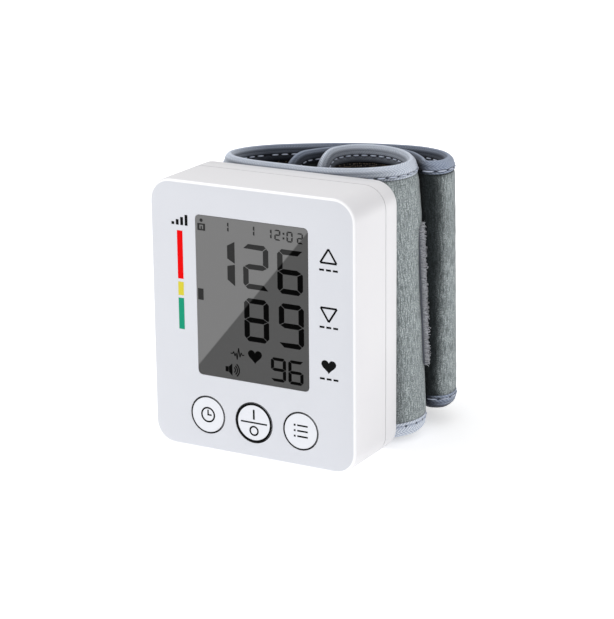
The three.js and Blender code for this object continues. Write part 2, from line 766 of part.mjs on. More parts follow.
function makePump() {
  const barrel = rodAlongX(motorRadius, pumpY, pumpZ, motorLeftX, motorRightX, roundSides);
  const flats = boxBetween(
    motorLeftX - overrun, motorRightX + overrun, pumpY - motorRadius - overrun, pumpY + motorRadius + overrun,
    pumpZ - motorFlat, pumpZ + motorFlat,
  );
  addPart('pump_motor', keptInside(barrel, flats), steel());

  const body = rodAlongX(headRadius, pumpY, pumpZ, headLeftX + headCover, headRightX, roundSides);
  const cover = rodAlongX(
    headRadius - headCoverInset, pumpY, pumpZ, headLeftX, headLeftX + headCover + headCoverInset, roundSides,
  );
  const outlet = rodAlongZ(spigotRadius, outletX, pumpY, outletZ, pumpZ);
  addPart('pump_head', joined(body, cover, outlet), darkPlastic());
}

function makeValve() {
  const body = boxBetween(
    valveLeftX, valveRightX, boardBackY, boardBackY + valveDepth,
    manifoldZ - valveHeight / 2, manifoldZ + valveHeight / 2,
  );
  const inlet = rodAlongX(
    spigotRadius, manifoldY, manifoldZ, valveLeftX - spigotReach, valveRightX - spigotReach,
  );
  addPart('release_valve', joined(body, inlet), greyPlastic());
}

function makeSensor() {
  const body = boxBetween(
    sensorX - sensorWidth / 2, sensorX + sensorWidth / 2, boardBackY, boardBackY + sensorDepth,
    sensorLowZ, sensorLowZ + sensorHeight,
  );
  const topZ = sensorLowZ + sensorHeight;
  const inlet = rodAlongZ(spigotRadius, sensorX, manifoldY, topZ - sensorHeight / 2, topZ + spigotReach);
  addPart('pressure_sensor', joined(body, inlet), darkPlastic());
}

function makeManifold() {
  const block = boxBetween(
    manifoldLeftX, manifoldRightX, manifoldY - manifoldDepth / 2, manifoldY + manifoldDepth / 2,
    manifoldLowZ, manifoldTopZ,
  );
  const toValve = rodAlongX(spigotRadius, manifoldY, manifoldZ, nippleX, manifoldRightX + spigotReach);
  const toPump = rodAlongZ(spigotRadius, nippleX, manifoldY, manifoldZ, manifoldTopZ + spigotReach);
  const down = [nippleX, sensorX].map((x) => (
    rodAlongZ(spigotRadius, x, manifoldY, manifoldLowZ - spigotReach, manifoldZ)
  ));
  addPart('air_manifold', joined(block, toValve, toPump, ...down), greyPlastic());
}

// A hose pushed over the spigots at its two ends, which it meets square
function hose(start, startDirection, end, endDirection) {
  const straight = spigotReach - hoseGap;
  const bendStart = start.clone().addScaledVector(startDirection, straight);
  const bendEnd = end.clone().addScaledVector(endDirection, -straight);
  const pull = bendStart.distanceTo(bendEnd) / 2;
  const path = new THREE.CurvePath();
  path.add(new THREE.LineCurve3(start, bendStart));
  path.add(new THREE.CubicBezierCurve3(
    bendStart,
    bendStart.clone().addScaledVector(startDirection, pull),
    bendEnd.clone().addScaledVector(endDirection, -pull),
    bendEnd,
  ));
  path.add(new THREE.LineCurve3(bendEnd, end));
  const section = new THREE.Shape().absarc(0, 0, hoseRadius, 0, 2 * Math.PI);
  section.holes.push(new THREE.Path().absarc(0, 0, hoseBore, 0, 2 * Math.PI));
  return welded(new THREE.ExtrudeGeometry(section, {
    steps: hoseSteps, curveSegments: hoseSides / 2, extrudePath: path,
  }));
}

function makeHoses() {
  const left = new THREE.Vector3(-1, 0, 0);
  const forward = new THREE.Vector3(0, -1, 0);
  const up = new THREE.Vector3(0, 0, 1);
  const down = new THREE.Vector3(0, 0, -1);
  const at = (x, y, z) => new THREE.Vector3(x, y, z);
  const end = hoseGap;
  addPart('hose_pump', hose(
    at(outletX, pumpY, pumpZ - headRadius - end), down, at(nippleX, manifoldY, manifoldTopZ + end), down,
  ), rubber());
  addPart('hose_valve', hose(
    at(valveLeftX - end, manifoldY, manifoldZ), left, at(manifoldRightX + end, manifoldY, manifoldZ), left,
  ), rubber());
  addPart('hose_sensor', hose(
    at(sensorX, manifoldY, sensorLowZ + sensorHeight + end), up,
    at(sensorX, manifoldY, manifoldLowZ - end), up,
  ), rubber());
  addPart('hose_cuff', hose(
    at(nippleX, backInnerY - end, nippleZ), forward, at(nippleX, manifoldY, manifoldLowZ - end), up,
  ), rubber());
}

// Battery tray, cells, contacts and cover

function makeTray() {
  const lowY = faceInnerY + traySeatGap;
  const highY = backInnerY - traySeatGap;
  const plateLeftX = coverInnerX + coverGap;
  const web = boxBetween(
    trayWebX, trayRightX, lowY, highY, trayLowZ - trayPlate, trayHighZ + trayPlate,
  );
  const plates = [trayLowZ - trayPlate, trayHighZ].map((z) => (
    boxBetween(plateLeftX, trayRightX, lowY, highY, z, z + trayPlate)
  ));
  addPart('battery_tray', joined(web, ...plates), darkPlastic());
}

// A cell standing on its flat end at a height, or hanging upside down from it
function cell(y, z, direction) {
  const profile = [
    [0, 0], [cellRadius - cellEdge, 0], [cellRadius, cellEdge], [cellRadius, cellBody - cellEdge],
    [cellRadius - cellEdge, cellBody], [cellNubRadius, cellBody], [cellNubRadius, cellBody + cellNub],
    [0, cellBody + cellNub],
  ];
  const points = profile.map(([radius, along]) => new THREE.Vector2(radius, along * direction));
  const turned = welded(new THREE.LatheGeometry(points, cellSides)).rotateX(Math.PI / 2);
  return turned.translate(cellCentreX, y, z);
}

function contactPlate(lowY, highY, z, direction) {
  const lowZ = Math.min(z, z + direction * contactSheet);
  return boxBetween(
    cellCentreX - contactWidth / 2, cellCentreX + contactWidth / 2, lowY, highY, lowZ, lowZ + contactSheet,
  );
}

// A tapering coil that stands on a contact plate
function contactCoil(y, z, direction) {
  class Coil extends THREE.Curve {
    getPoint(t, target = new THREE.Vector3()) {
      const angle = t * springTurns * 2 * Math.PI;
      const radius = springRadius + (springTipRadius - springRadius) * t;
      const rise = springWire + t * (springRise - 2 * springWire);
      return target.set(
        cellCentreX + radius * Math.cos(angle), y + radius * Math.sin(angle), z + direction * rise,
      );
    }
  }
  const wire = new THREE.Shape().absarc(0, 0, springWire, 0, 2 * Math.PI);
  const coil = new THREE.ExtrudeGeometry(wire, {
    steps: springTurns * wireStepsPerTurn, curveSegments: wireSides / 2, extrudePath: new Coil(),
  });
  const foot = rodAlongZ(
    springWire, cellCentreX + springRadius, y, Math.min(z, z + direction * springWire * 2) - springWire / 2,
    Math.max(z, z + direction * springWire * 2),
  );
  return joined(coil, foot);
}

function makeBatteries() {
  const half = contactWidth / 2;
  const cellSeat = contactSheet + springRise + cellGap / 2;
  addPart('battery_cell_1', cell(cellFrontY, trayLowZ + cellSeat, 1), steel());
  addPart('battery_cell_2', cell(cellBackY, trayHighZ - cellSeat, -1), steel());
  addPart('contact_spring', joined(
    contactPlate(cellFrontY - half, cellFrontY + half, trayLowZ, 1),
    contactCoil(cellFrontY, trayLowZ + contactSheet, 1),
  ), steel());
  addPart('contact_button', contactPlate(cellBackY - half, cellBackY + half, trayLowZ, 1), steel());
  addPart('contact_bridge', joined(
    contactPlate(cellFrontY - half, cellBackY + half, trayHighZ, -1),
    contactCoil(cellBackY, trayHighZ - contactSheet, -1),
  ), steel());
}

function makeCover() {
  const lowY = faceInnerY + coverGap;
  const highY = backInnerY - coverGap;
  const panel = boxBetween(leftX, coverInnerX, lowY, highY, coverLowZ, coverHighZ);
  const tabPlaces = [[-coverTabY, lowTabZ], [coverTabY, lowTabZ], [0, highTabZ]];
  const tabs = tabPlaces.map(([y, z]) => boxBetween(
    coverInnerX - coverThickness / 2, coverInnerX + coverTabReach,
    y - coverTabWidth / 2, y + coverTabWidth / 2, z, z + coverTabThickness,
  ));
  const grips = Array.from({ length: coverGripCount }, (_, i) => {
    const z = coverHighZ - coverGripMargin - i * coverGripPitch;
    return boxBetween(
      leftX - overrun, leftX + coverGripDepth, -coverGripWidth / 2, coverGripWidth / 2,
      z - coverGripHeight, z,
    );
  });
  addPart('battery_cover', cutFrom(joined(panel, ...tabs), ...grips), whitePlastic());
}

// Cuff: every layer is drawn flat, then laid along the folded route

function routePoint(row, atTop) {
  const [acrossShare, acrossLayers, backShare, backLayers, flareX, flareY, rise, raise] = routeShares[row];
  const x = acrossShare * cuffReach + acrossLayers * cuffPitch;
  const y = cuffSeatY - cuffPitch / 2 + cuffThickness / 2 + backShare * cuffDepth + backLayers * cuffPitch;
  if (atTop) {
    return new THREE.Vector3(x, y, cuffLowZ + cuffHeight - rollRise * (1 - rise));
  }
  return new THREE.Vector3(x + flareX * rollFlare, y + flareY * rollFlare, cuffLowZ + raise * flapRaise);
}

function routeEdge(atTop) {
  const curve = new THREE.CatmullRomCurve3(routeShares.map((_, row) => routePoint(row, atTop)));
  curve.arcLengthDivisions = routeShares.length * 20;
  return curve;
}

const topEdge = routeEdge(true);
const lowEdge = routeEdge(false);
const cuffLength = topEdge.getLength();

// Stations along the strip, close together where it bends and far apart where it runs straight
const bendPerStation = Math.PI / 11;
const bendPerTipStation = bendPerStation / 3;
const runPerStation = cuffThickness * 2;
const closestStation = cuffThickness / 100;
const closestExtra = cuffThickness / 8;

function layStations() {
  const stations = [];
  const fine = topEdge.arcLengthDivisions;
  let bend = bendPerStation;
  let lastTangent = topEdge.getTangentAt(0);
  let lastRun = 0;
  for (let i = 0; i <= fine; i += 1) {
    const along = i / fine;
    const run = along * cuffLength;
    const tangent = topEdge.getTangentAt(along);
    bend += tangent.angleTo(lastTangent);
    lastTangent = tangent;
    const atTip = Math.min(run, cuffLength - run) < cuffCorner;
    const mostBend = atTip ? bendPerTipStation : bendPerStation;
    if (bend >= mostBend || run - lastRun >= runPerStation || i === fine) {
      const t = topEdge.getUtoTmapping(along);
      const top = topEdge.getPoint(t);
      const low = lowEdge.getPoint(t);
      const topWay = topEdge.getTangent(t);
      const lowWay = lowEdge.getTangent(t);
      stations.push({
        run,
        top,
        low,
        topOut: new THREE.Vector3(-topWay.y, topWay.x, 0).normalize(),
        lowOut: new THREE.Vector3(-lowWay.y, lowWay.x, 0).normalize(),
      });
      bend = 0;
      lastRun = run;
    }
  }
  return stations;
}

const stations = layStations();

// The place of a flat point: how far along the strip, how high above its lower edge, how far out of it
function laid(run, height, out) {
  let i = 0;
  while (i + 2 < stations.length && stations[i + 1].run < run) {
    i += 1;
  }
  const here = stations[i];
  const next = stations[i + 1];
  const share = (run - here.run) / (next.run - here.run);
  const top = here.top.clone().lerp(next.top, share);
  const low = here.low.clone().lerp(next.low, share);
  const topOut = here.topOut.clone().lerp(next.topOut, share);
  const lowOut = here.lowOut.clone().lerp(next.lowOut, share);
  const up = height / cuffHeight;
  return low.addScaledVector(lowOut, out).lerp(top.addScaledVector(topOut, out), up);
}

function clearOf(value, others, closest) {
  return others.every((other) => Math.abs(value - other) > closest);
}

// The runs at which a piece between two runs gets a ring: every station, and extras clear of them
function runsBetween(start, end, extras = []) {
  const within = stations.map(({ run }) => run).filter((run) => run > start && run < end);
  const kept = [start, end, ...within.filter((run) => clearOf(run, [start, end], closestStation))];
  const added = extras.filter((run) => clearOf(run, kept, closestExtra));
  return [...kept, ...added].sort((a, b) => a - b);
}

// How far a round corner draws an edge in at a run, for the corners at the given ends
function cornerDrop(run, start, end, corner, roundStart, roundEnd) {
  const fromStart = roundStart ? run - start : corner;
  const fromEnd = roundEnd ? end - run : corner;
  const reach = Math.min(fromStart, fromEnd, corner);
  return corner - Math.sqrt(corner * corner - (corner - reach) * (corner - reach));
}

// A layer of the strip between two runs, two edges and two faces, in rows that are the same for all layers
const layerRowShares = [0.22, 0.5, 0.78];

function layer({ start, end, lowHeight, highHeight, inner, outer, corner, roundStart, roundEnd }) {
  const cornerRuns = [];
  for (let step = 1; step < cornerSteps; step += 1) {
    const reach = corner * (1 - Math.cos(step / cornerSteps * Math.PI / 2));
    if (roundStart) cornerRuns.push(start + reach);
    if (roundEnd) cornerRuns.push(end - reach);
  }
  const middles = layerRowShares
    .map((share) => share * cuffHeight)
    .filter((height) => height > lowHeight + corner && height < highHeight - corner);
  const rings = runsBetween(start, end, cornerRuns).map((run) => {
    const drop = cornerDrop(run, start, end, corner, roundStart, roundEnd);
    const heights = [lowHeight + drop, ...middles, highHeight - drop];
    return [
      ...heights.map((height) => laid(run, height, outer)),
      ...heights.reverse().map((height) => laid(run, height, inner)),
    ];
  });
  const bowed = Array.from({ length: middles.length + 2 }, (_, i) => {
    const angle = Math.PI * (i / (middles.length + 1) - 1 / 2);
    return [1 + Math.cos(angle), Math.sin(angle)];
  });
  const section = [...bowed, ...bowed.map(([a, b]) => [-a, -b])];
  return lofted(rings, section.map(([a, b]) => new THREE.Vector2(a, b)));
}

// The binding: tape folded over the strip's edge, along a path round the strip's outline.
// Each stop gives a run, a height and the direction inwards across the edge.
function binding(stops) {
  const half = cuffThickness / 2;
  const inner = half - tapeThickness;
  const shoulder = half * (1 - Math.SQRT1_2);
  const slope = half * Math.SQRT1_2;
  const section = [
    [tapeHeight, half], [half, half], [shoulder, slope], [0, 0], [shoulder, -slope], [half, -half],
    [tapeHeight, -half], [tapeHeight, -inner], [half, -inner], [half, inner], [tapeHeight, inner],
  ];
  const rings = stops.map(({ run, height, inRun, inHeight }) => section.map(([deep, out]) => (
    laid(run + inRun * deep, height + inHeight * deep, out)
  )));
  return lofted(rings, section.map(([a, b]) => new THREE.Vector2(a, b)));
}

// Stops along a straight top or lower edge
function edgeStops(start, end, height, inHeight) {
  return runsBetween(Math.min(start, end), Math.max(start, end))
    .map((run) => ({ run, height, inRun: 0, inHeight }));
}

// Stops round a corner of the outline, from one angle to the next, also at the stations on the way
function cornerStops(centreRun, centreHeight, fromAngle, toAngle) {
  const sweep = toAngle - fromAngle;
  const closest = closestExtra / cuffCorner;
  const atStations = stations
    .filter(({ run }) => Math.abs(run - centreRun) < cuffCorner)
    .map(({ run }) => Math.acos((run - centreRun) / cuffCorner))
    .flatMap((angle) => [angle, -angle, 2 * Math.PI - angle])
    .filter((angle) => Math.abs(angle - fromAngle - sweep / 2) < Math.abs(sweep) / 2)
    .filter((angle) => clearOf(angle, [fromAngle, toAngle], closest));
  const kept = [fromAngle, toAngle, ...atStations];
  const steps = Array.from({ length: cornerSteps - 1 }, (_, i) => fromAngle + sweep * (i + 1) / cornerSteps);
  const angles = [...kept, ...steps.filter((angle) => clearOf(angle, kept, closest))]
    .sort((a, b) => (a - b) * Math.sign(sweep));
  return angles.map((angle) => ({
    run: centreRun + cuffCorner * Math.cos(angle),
    height: centreHeight + cuffCorner * Math.sin(angle),
    inRun: -Math.cos(angle),
    inHeight: -Math.sin(angle),
  }));
}

// The binding of a loose end: along the top, round the end and back along the lower edge
function endBinding(foldRun, tipRun) {
  const way = Math.sign(tipRun - foldRun);
  const centreRun = tipRun - way * cuffCorner;
  const cornerTop = cuffHeight - cuffCorner;
  const sideAngle = way > 0 ? 0 : Math.PI;
  const top = edgeStops(foldRun, centreRun, cuffHeight, -1);
  const low = edgeStops(foldRun, centreRun, 0, 1);
  const upper = cornerStops(centreRun, cornerTop, Math.PI / 2, sideAngle);
  const lowAngle = way > 0 ? -Math.PI / 2 : 3 * Math.PI / 2;
  const lower = cornerStops(centreRun, cuffCorner, sideAngle, lowAngle);
  const outwards = way > 0 ? top.slice(0, -1) : top.slice(1).reverse();
  const back = way > 0 ? low.slice(0, -1).reverse() : low.slice(1);
  return binding([...outwards, ...upper, ...lower, ...back]);
}

const foldStart = foldStartShare * cuffLength;
const foldEnd = foldEndShare * cuffLength;
const halfCut = foldCutGap / 2;
const sheetInset = cuffThickness / 2 + sheetEdgeGap;
const outerFace = cuffThickness / 2 - tapeThickness - sheetGap;
const pileFace = outerFace - pileThickness;
const stiffenerFace = pileFace - sheetGap;
const bladderFace = stiffenerFace - stiffenerThickness - sheetGap;
const liningFace = bladderFace - bladderThickness - sheetGap;
const innerFace = -outerFace;

function makeCuffSheets() {
  const shared = {
    lowHeight: sheetInset, highHeight: cuffHeight - sheetInset, corner: cuffCorner - sheetInset,
  };
  const spans = {
    fixed: { start: sheetInset, end: foldStart - halfCut, roundStart: true, roundEnd: false },
    fold: { start: foldStart + halfCut, end: foldEnd - halfCut, roundStart: false, roundEnd: false },
    flap: { start: foldEnd + halfCut, end: cuffLength - sheetInset, roundStart: false, roundEnd: true },
  };
  Object.entries(spans).forEach(([name, span]) => {
    const backing = name === 'fixed' ? pileFace : liningFace + sheetGap;
    let outer = layer({ ...shared, ...span, inner: backing, outer: outerFace });
    if (name === 'fixed') {
      const bossHoles = cuffScrewPlaces.map(({ x, z }) => rodAlongY(
        cuffBossRadius + cuffBossGap, x, z, backY, cuffSeatY + cuffThickness / 2,
      ));
      const nippleHole = rodAlongY(
        nippleStemRadius + cuffBossGap, nippleX, nippleZ, backY, cuffSeatY + cuffThickness / 2,
      );
      outer = cutFrom(outer, ...bossHoles, nippleHole);
    }
    addPart(`cuff_outer_${name}`, outer, loopPile());
    addPart(`cuff_lining_${name}`, layer({
      ...shared, ...span, inner: innerFace, outer: liningFace,
    }), darkMesh());
  });
}

function makeBindings() {
  addPart('cuff_binding_fixed', endBinding(foldStart - halfCut, 0), twillTape());
  addPart('cuff_binding_flap', endBinding(foldEnd + halfCut, cuffLength), twillTape());
  const start = foldStart + halfCut;
  const end = foldEnd - halfCut;
  addPart('cuff_binding_fold_upper', binding(edgeStops(start, end, cuffHeight, -1)), twillTape());
  addPart('cuff_binding_fold_lower', binding(edgeStops(start, end, 0, 1)), twillTape());
}

// The springy sheet and the air bladder between the layers, and what joins them to the housing
function makeCuffInside() {
  const inset = tapeHeight + innerMargin;
  const shared = {
    lowHeight: inset, highHeight: cuffHeight - inset, corner: cuffCorner - innerMargin,
    end: innerEndShare * cuffLength, roundStart: true, roundEnd: true,
  };
  const sheetY = cuffSeatY + cuffThickness / 2 - stiffenerFace;
  const stiffener = layer({
    ...shared, start: stiffenerStartShare * cuffLength,
    inner: stiffenerFace - stiffenerThickness, outer: stiffenerFace,
  });
  const bosses = cuffScrewPlaces.map(({ x, z }) => (
    rodAlongY(cuffBossRadius, x, z, backY + cuffBossGap, sheetY + stiffenerThickness / 2)
  ));
  const bores = cuffScrewPlaces.map(({ x, z }) => (
    rodAlongY(smallScrewRadius + screwGap, x, z, backY, sheetY + stiffenerThickness + sheetGap / 2)
  ));
  const flangeHole = rodAlongY(
    nippleFlangeRadius + cuffBossGap, nippleX, nippleZ, backY, sheetY + stiffenerThickness + sheetGap / 2,
  );
  addPart('cuff_stiffener', cutFrom(joined(stiffener, ...bosses), ...bores, flangeHole), greyPlastic());
  addPart('air_bladder', layer({
    ...shared, start: bladderStartShare * cuffLength, inner: liningFace + sheetGap, outer: bladderFace,
  }), finish('#d9d6c8', 0.4));

  const flangeBackY = sheetY + stiffenerThickness;
  const flangeFrontY = sheetY;
  const stem = rodAlongY(nippleStemRadius, nippleX, nippleZ, backInnerY, flangeBackY);
  const spigot = rodAlongY(spigotRadius, nippleX, nippleZ, backInnerY - spigotReach, flangeBackY);
  const flange = rodAlongY(nippleFlangeRadius, nippleX, nippleZ, flangeFrontY, flangeBackY, roundSides);
  addPart('air_nipple', joined(stem, spigot, flange), greyPlastic());

  const screwLength = sheetY + stiffenerThickness / 2 - backInnerY;
  cuffScrewPlaces.forEach(({ x, z }, i) => addPart(`cuff_screw_${i + 1}`, screw(
    x, backInnerY, z, smallScrewRadius, smallScrewHead, smallScrewHeadHeight, screwLength, 1,
  ), steel()));
}

function makeHookPatch() {
  addPart('hook_patch', layer({
    start: hookStartShare * cuffLength, end: hookEndShare * cuffLength,
    lowHeight: hookRaise + (cuffHeight - hookHeight) / 2,
    highHeight: hookRaise + (cuffHeight + hookHeight) / 2,
    inner: outerFace + hookGap, outer: outerFace + hookGap + hookThickness,
    corner: hookCorner, roundStart: true, roundEnd: true,
  }), finish('#8d8c9c', 0.95));
}

makeFrontShell();
makeRearShell();
makeShellScrews();
makeDisplay();
makeKeys();
makeBoard();
makePump();
makeValve();
makeSensor();
makeManifold();
makeHoses();
makeTray();
makeBatteries();
makeCover();
makeCuffSheets();
makeBindings();
makeCuffInside();
makeHookPatch();

export default group;
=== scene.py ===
"""Looks of a wrist blood pressure monitor: a white moulded housing on a folded, bound fabric cuff."""

import math

import bmesh
import bpy
import numpy as np
from mathutils import Matrix, Vector, noise


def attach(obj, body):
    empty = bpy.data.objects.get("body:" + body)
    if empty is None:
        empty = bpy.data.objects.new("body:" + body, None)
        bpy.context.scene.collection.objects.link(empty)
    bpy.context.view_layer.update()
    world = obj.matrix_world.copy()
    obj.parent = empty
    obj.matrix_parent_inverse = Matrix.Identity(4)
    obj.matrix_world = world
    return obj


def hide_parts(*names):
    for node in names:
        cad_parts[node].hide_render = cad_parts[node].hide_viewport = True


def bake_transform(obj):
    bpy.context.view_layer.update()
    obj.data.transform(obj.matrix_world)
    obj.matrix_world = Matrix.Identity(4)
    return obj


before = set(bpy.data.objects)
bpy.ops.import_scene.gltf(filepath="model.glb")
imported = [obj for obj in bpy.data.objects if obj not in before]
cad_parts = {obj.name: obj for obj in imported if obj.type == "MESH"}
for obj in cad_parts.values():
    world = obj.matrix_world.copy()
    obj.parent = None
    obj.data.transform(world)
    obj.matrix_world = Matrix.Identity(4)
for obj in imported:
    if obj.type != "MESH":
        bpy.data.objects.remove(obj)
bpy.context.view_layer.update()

# Sizes and places are in millimetres, and a mesh is turned to metres as it is made
MM = 0.001
FACE_Y = -12.35
# The tape's stitches: one to the next, and their line's distance from the tape's crest
STITCH_PITCH = 3.0
STITCH_LINE = 3.71
# The tape's ribs as they are drawn
RIB_PITCH = 0.6

# The camera stands above and to the right of the face, a short telephoto's distance away
CAMERA_PLACE = (300.27, -517.81, 218.17)
CAMERA_RIGHT = (0.87404644, 0.48575936, -0.0089814)
CAMERA_UP = (-0.13084684, 0.25316073, 0.95853469)
CAMERA_BACK = (0.46789094, -0.83662864, 0.28483431)
FOCAL_LENGTH_PIXELS = 2226.28
LONG_SIDE_PIXELS = 619
camera_data = bpy.data.cameras.new("camera")
camera_data.sensor_width = 36
camera_data.lens = FOCAL_LENGTH_PIXELS / LONG_SIDE_PIXELS * camera_data.sensor_width
camera_data.clip_start = 0.01
camera_data.clip_end = 20
camera = bpy.data.objects.new("camera", camera_data)
turned = Matrix((CAMERA_RIGHT, CAMERA_UP, CAMERA_BACK)).transposed().to_4x4()
camera.matrix_world = Matrix.Translation(Vector(CAMERA_PLACE) * MM) @ turned
bpy.context.scene.collection.objects.link(camera)
bpy.context.scene.camera = camera
bpy.context.scene.view_settings.view_transform = "Standard"


# Finishes


def linear(hex_colour):
    """An sRGB colour such as E2E4EB as the linear colour that a shader takes."""
    shares = [int(hex_colour[i:i + 2], 16) / 255 for i in (0, 2, 4)]
    return (*[s / 12.92 if s <= 0.04045 else ((s + 0.055) / 1.055) ** 2.4 for s in shares], 1.0)


def add_node(tree, kind, sockets=None, **settings):
    """Adds a node with its settings. A socket takes a constant, or the output that feeds it.
    The two colours of a mixing node are its sockets 6 and 7, and its mixed colour is output 2."""
    node = tree.nodes.new(kind)
    for name, value in settings.items():
        setattr(node, name, value)
    for name, value in (sockets or {}).items():
        if isinstance(value, bpy.types.NodeSocket):
            tree.links.new(value, node.inputs[name])
        else:
            node.inputs[name].default_value = value
    return node


def new_finish(name):
    """An empty material, and its tree to fill."""
    material = bpy.data.materials.new(name)
    material.use_nodes = True
    material.node_tree.nodes.clear()
    return material, material.node_tree


def surface(tree, sockets):
    """The finish's one shader and its output."""
    shader = add_node(tree, "ShaderNodeBsdfPrincipled", sockets)
    add_node(tree, "ShaderNodeOutputMaterial", {"Surface": shader.outputs["BSDF"]})


def speckled(tree, place, size_mm, first, second, detail=2.0):
    """A colour that drifts between two over blobs of that size."""
    scale = 1 / (size_mm * MM)
    grain = add_node(tree, "ShaderNodeTexNoise", {"Vector": place, "Scale": scale, "Detail": detail})
    mixed = add_node(tree, "ShaderNodeMix", {
        "Factor": grain.outputs["Fac"],
        6: linear(first),
        7: linear(second),
    }, data_type="RGBA")
    return mixed.outputs[2]


def uneven_gloss(tree, place, size_mm, detail, low, high):
    """A roughness that wanders between two values over patches of that size."""
    scale = 1 / (size_mm * MM)
    patches = add_node(tree, "ShaderNodeTexNoise", {"Vector": place, "Scale": scale, "Detail": detail})
    gloss = add_node(tree, "ShaderNodeMapRange", {
        "Value": patches.outputs["Fac"],
        "To Min": low,
        "To Max": high,
    })
    return gloss.outputs["Result"]


def spark_grain(tree, place, grain_mm, depth_mm):
    """The fine relief that a spark-eroded mould leaves on plastic. The real grain is about 0.05 mm
    and too fine to show, so it is drawn coarser."""
    scale = 1 / (grain_mm * MM)
    grain = add_node(tree, "ShaderNodeTexNoise", {"Vector": place, "Scale": scale, "Detail": 1.0})
    bump = add_node(tree, "ShaderNodeBump", {
        "Height": grain.outputs["Fac"],
        "Distance": depth_mm * MM,
        "Strength": 1.0,
    })
    return bump.outputs["Normal"]


def moulded(name, first, second, roughness, grain_mm, depth_mm, ior=1.53):
    """Moulded plastic or rubber: the mould's fine grain breaks up the gloss, and the resin's colour
    drifts a little from place to place."""
    material, tree = new_finish(name)
    place = add_node(tree, "ShaderNodeTexCoord").outputs["Object"]
    surface(tree, {
        "Base Color": speckled(tree, place, 14, first, second),
        "Roughness": uneven_gloss(tree, place, 5, 3.0, roughness - 0.05, roughness + 0.06),
        "IOR": ior,
        "Normal": spark_grain(tree, place, grain_mm, depth_mm),
    })
    return material


def shell_abs():
    """The housing's shells in moulded ABS, with a fine grain all over. The face keeps its own slightly
    bluish tone; the sides are painted lighter where the light falls on them, and a thin near-white band
    where the round edge starts is a painted highlight."""
    material, tree = new_finish("white moulded ABS of the shells")
    place = add_node(tree, "ShaderNodeTexCoord").outputs["Object"]
    depth = add_node(tree, "ShaderNodeSeparateXYZ", {"Vector": place}).outputs["Y"]
    beyond_face = add_node(tree, "ShaderNodeMapRange", {
        "Value": depth,
        "From Min": (FACE_Y + 0.01) * MM,
        "From Max": (FACE_Y + 0.06) * MM,
    })
    # Past a thin band where the round edge starts, which carries a painted highlight
    beyond_painted_highlight = add_node(tree, "ShaderNodeMapRange", {
        "Value": depth,
        "From Min": (FACE_Y + 0.15) * MM,
        "From Max": (FACE_Y + 0.5) * MM,
    })
    # The face's own tone, and the sides' lighter colour, which is painted light
    face_tone = speckled(tree, place, 14, "CCCED4", "D0D2D8")
    painted_light_sides = speckled(tree, place, 14, "DDDCDF", "E1E0E2")
    # F4F4F6 is a painted highlight line along the round edge
    sides = add_node(tree, "ShaderNodeMix", {
        "Factor": beyond_painted_highlight.outputs["Result"],
        6: linear("F4F4F6"),
        7: painted_light_sides,
    }, data_type="RGBA")
    colour = add_node(tree, "ShaderNodeMix", {
        "Factor": beyond_face.outputs["Result"],
        6: face_tone,
        7: sides.outputs[2],
    }, data_type="RGBA")
    surface(tree, {
        "Base Color": colour.outputs[2],
        "Roughness": uneven_gloss(tree, place, 5, 3.0, 0.27, 0.38),
        "IOR": 1.53,
        "Normal": spark_grain(tree, place, 0.35, 0.004),
    })
    return material


# The edge of the painted reflection runs from the lower left corner of the screen to its upper right corner,
# in X and Z
PAINTED_GLARE_EDGE_START = (-18.6, 23.8)
PAINTED_GLARE_EDGE_END = (16.17, 65.53)
PAINTED_GLARE_EDGE_BLUR = 0.2


def film_with_painted_glare(name, light, dark, shine):
    """Low-glare film over a liquid crystal panel, which gives back little of the room. Its upper left
    half carries a painted reflection and is lighter than the lower right half, cut on a slanting line, so
    that the panel shows in two tones."""
    material, tree = new_finish(name)
    place = add_node(tree, "ShaderNodeTexCoord").outputs["Object"]
    start, end = [Vector((x, 0, z)) * MM for x, z in (PAINTED_GLARE_EDGE_START, PAINTED_GLARE_EDGE_END)]
    across = Vector((end.z - start.z, 0, start.x - end.x)).normalized()
    side = add_node(tree, "ShaderNodeVectorMath", {0: place, 1: start}, operation="SUBTRACT")
    beyond = add_node(tree, "ShaderNodeVectorMath", {0: side.outputs[0], 1: across}, operation="DOT_PRODUCT")
    share = add_node(tree, "ShaderNodeMapRange", {
        "Value": beyond.outputs["Value"],
        "From Min": -PAINTED_GLARE_EDGE_BLUR * MM,
        "From Max": PAINTED_GLARE_EDGE_BLUR * MM,
    })
    # The first colour, on the upper left, is the film's colour with a painted reflection over it
    colour = add_node(tree, "ShaderNodeMix", {
        "Factor": share.outputs["Result"],
        6: linear(light),
        7: linear(dark),
    }, data_type="RGBA")
    surface(tree, {
        "Base Color": colour.outputs[2],
        "Roughness": uneven_gloss(tree, place, 11.11, 2.0, 0.42, 0.5),
        "IOR": 1.49,
        "Specular IOR Level": shine,
    })
    return material


def printed_ink(name, colour, roughness=0.45):
    """Screen-printed ink: an even, slightly dull film with a faint mottle from the mesh."""
    material, tree = new_finish(name)
    place = add_node(tree, "ShaderNodeTexCoord").outputs["Object"]
    surface(tree, {
        "Base Color": linear(colour),
        "Roughness": uneven_gloss(tree, place, 0.4, 1.0, roughness - 0.06, roughness + 0.06),
        "IOR": 1.5,
        "Specular IOR Level": 0.05,
    })
    return material


def plated_steel():
    """Zinc-plated steel: bright grey with fine drawing marks and faint cloudy patches."""
    material, tree = new_finish("zinc plated steel")
    place = add_node(tree, "ShaderNodeTexCoord").outputs["Object"]
    surface(tree, {
        "Base Color": speckled(tree, place, 3, "A9ADB3", "C6C9CE", 3.0),
        "Metallic": 1.0,
        "Roughness": uneven_gloss(tree, place, 1.2, 4.0, 0.22, 0.4),
    })
    return material


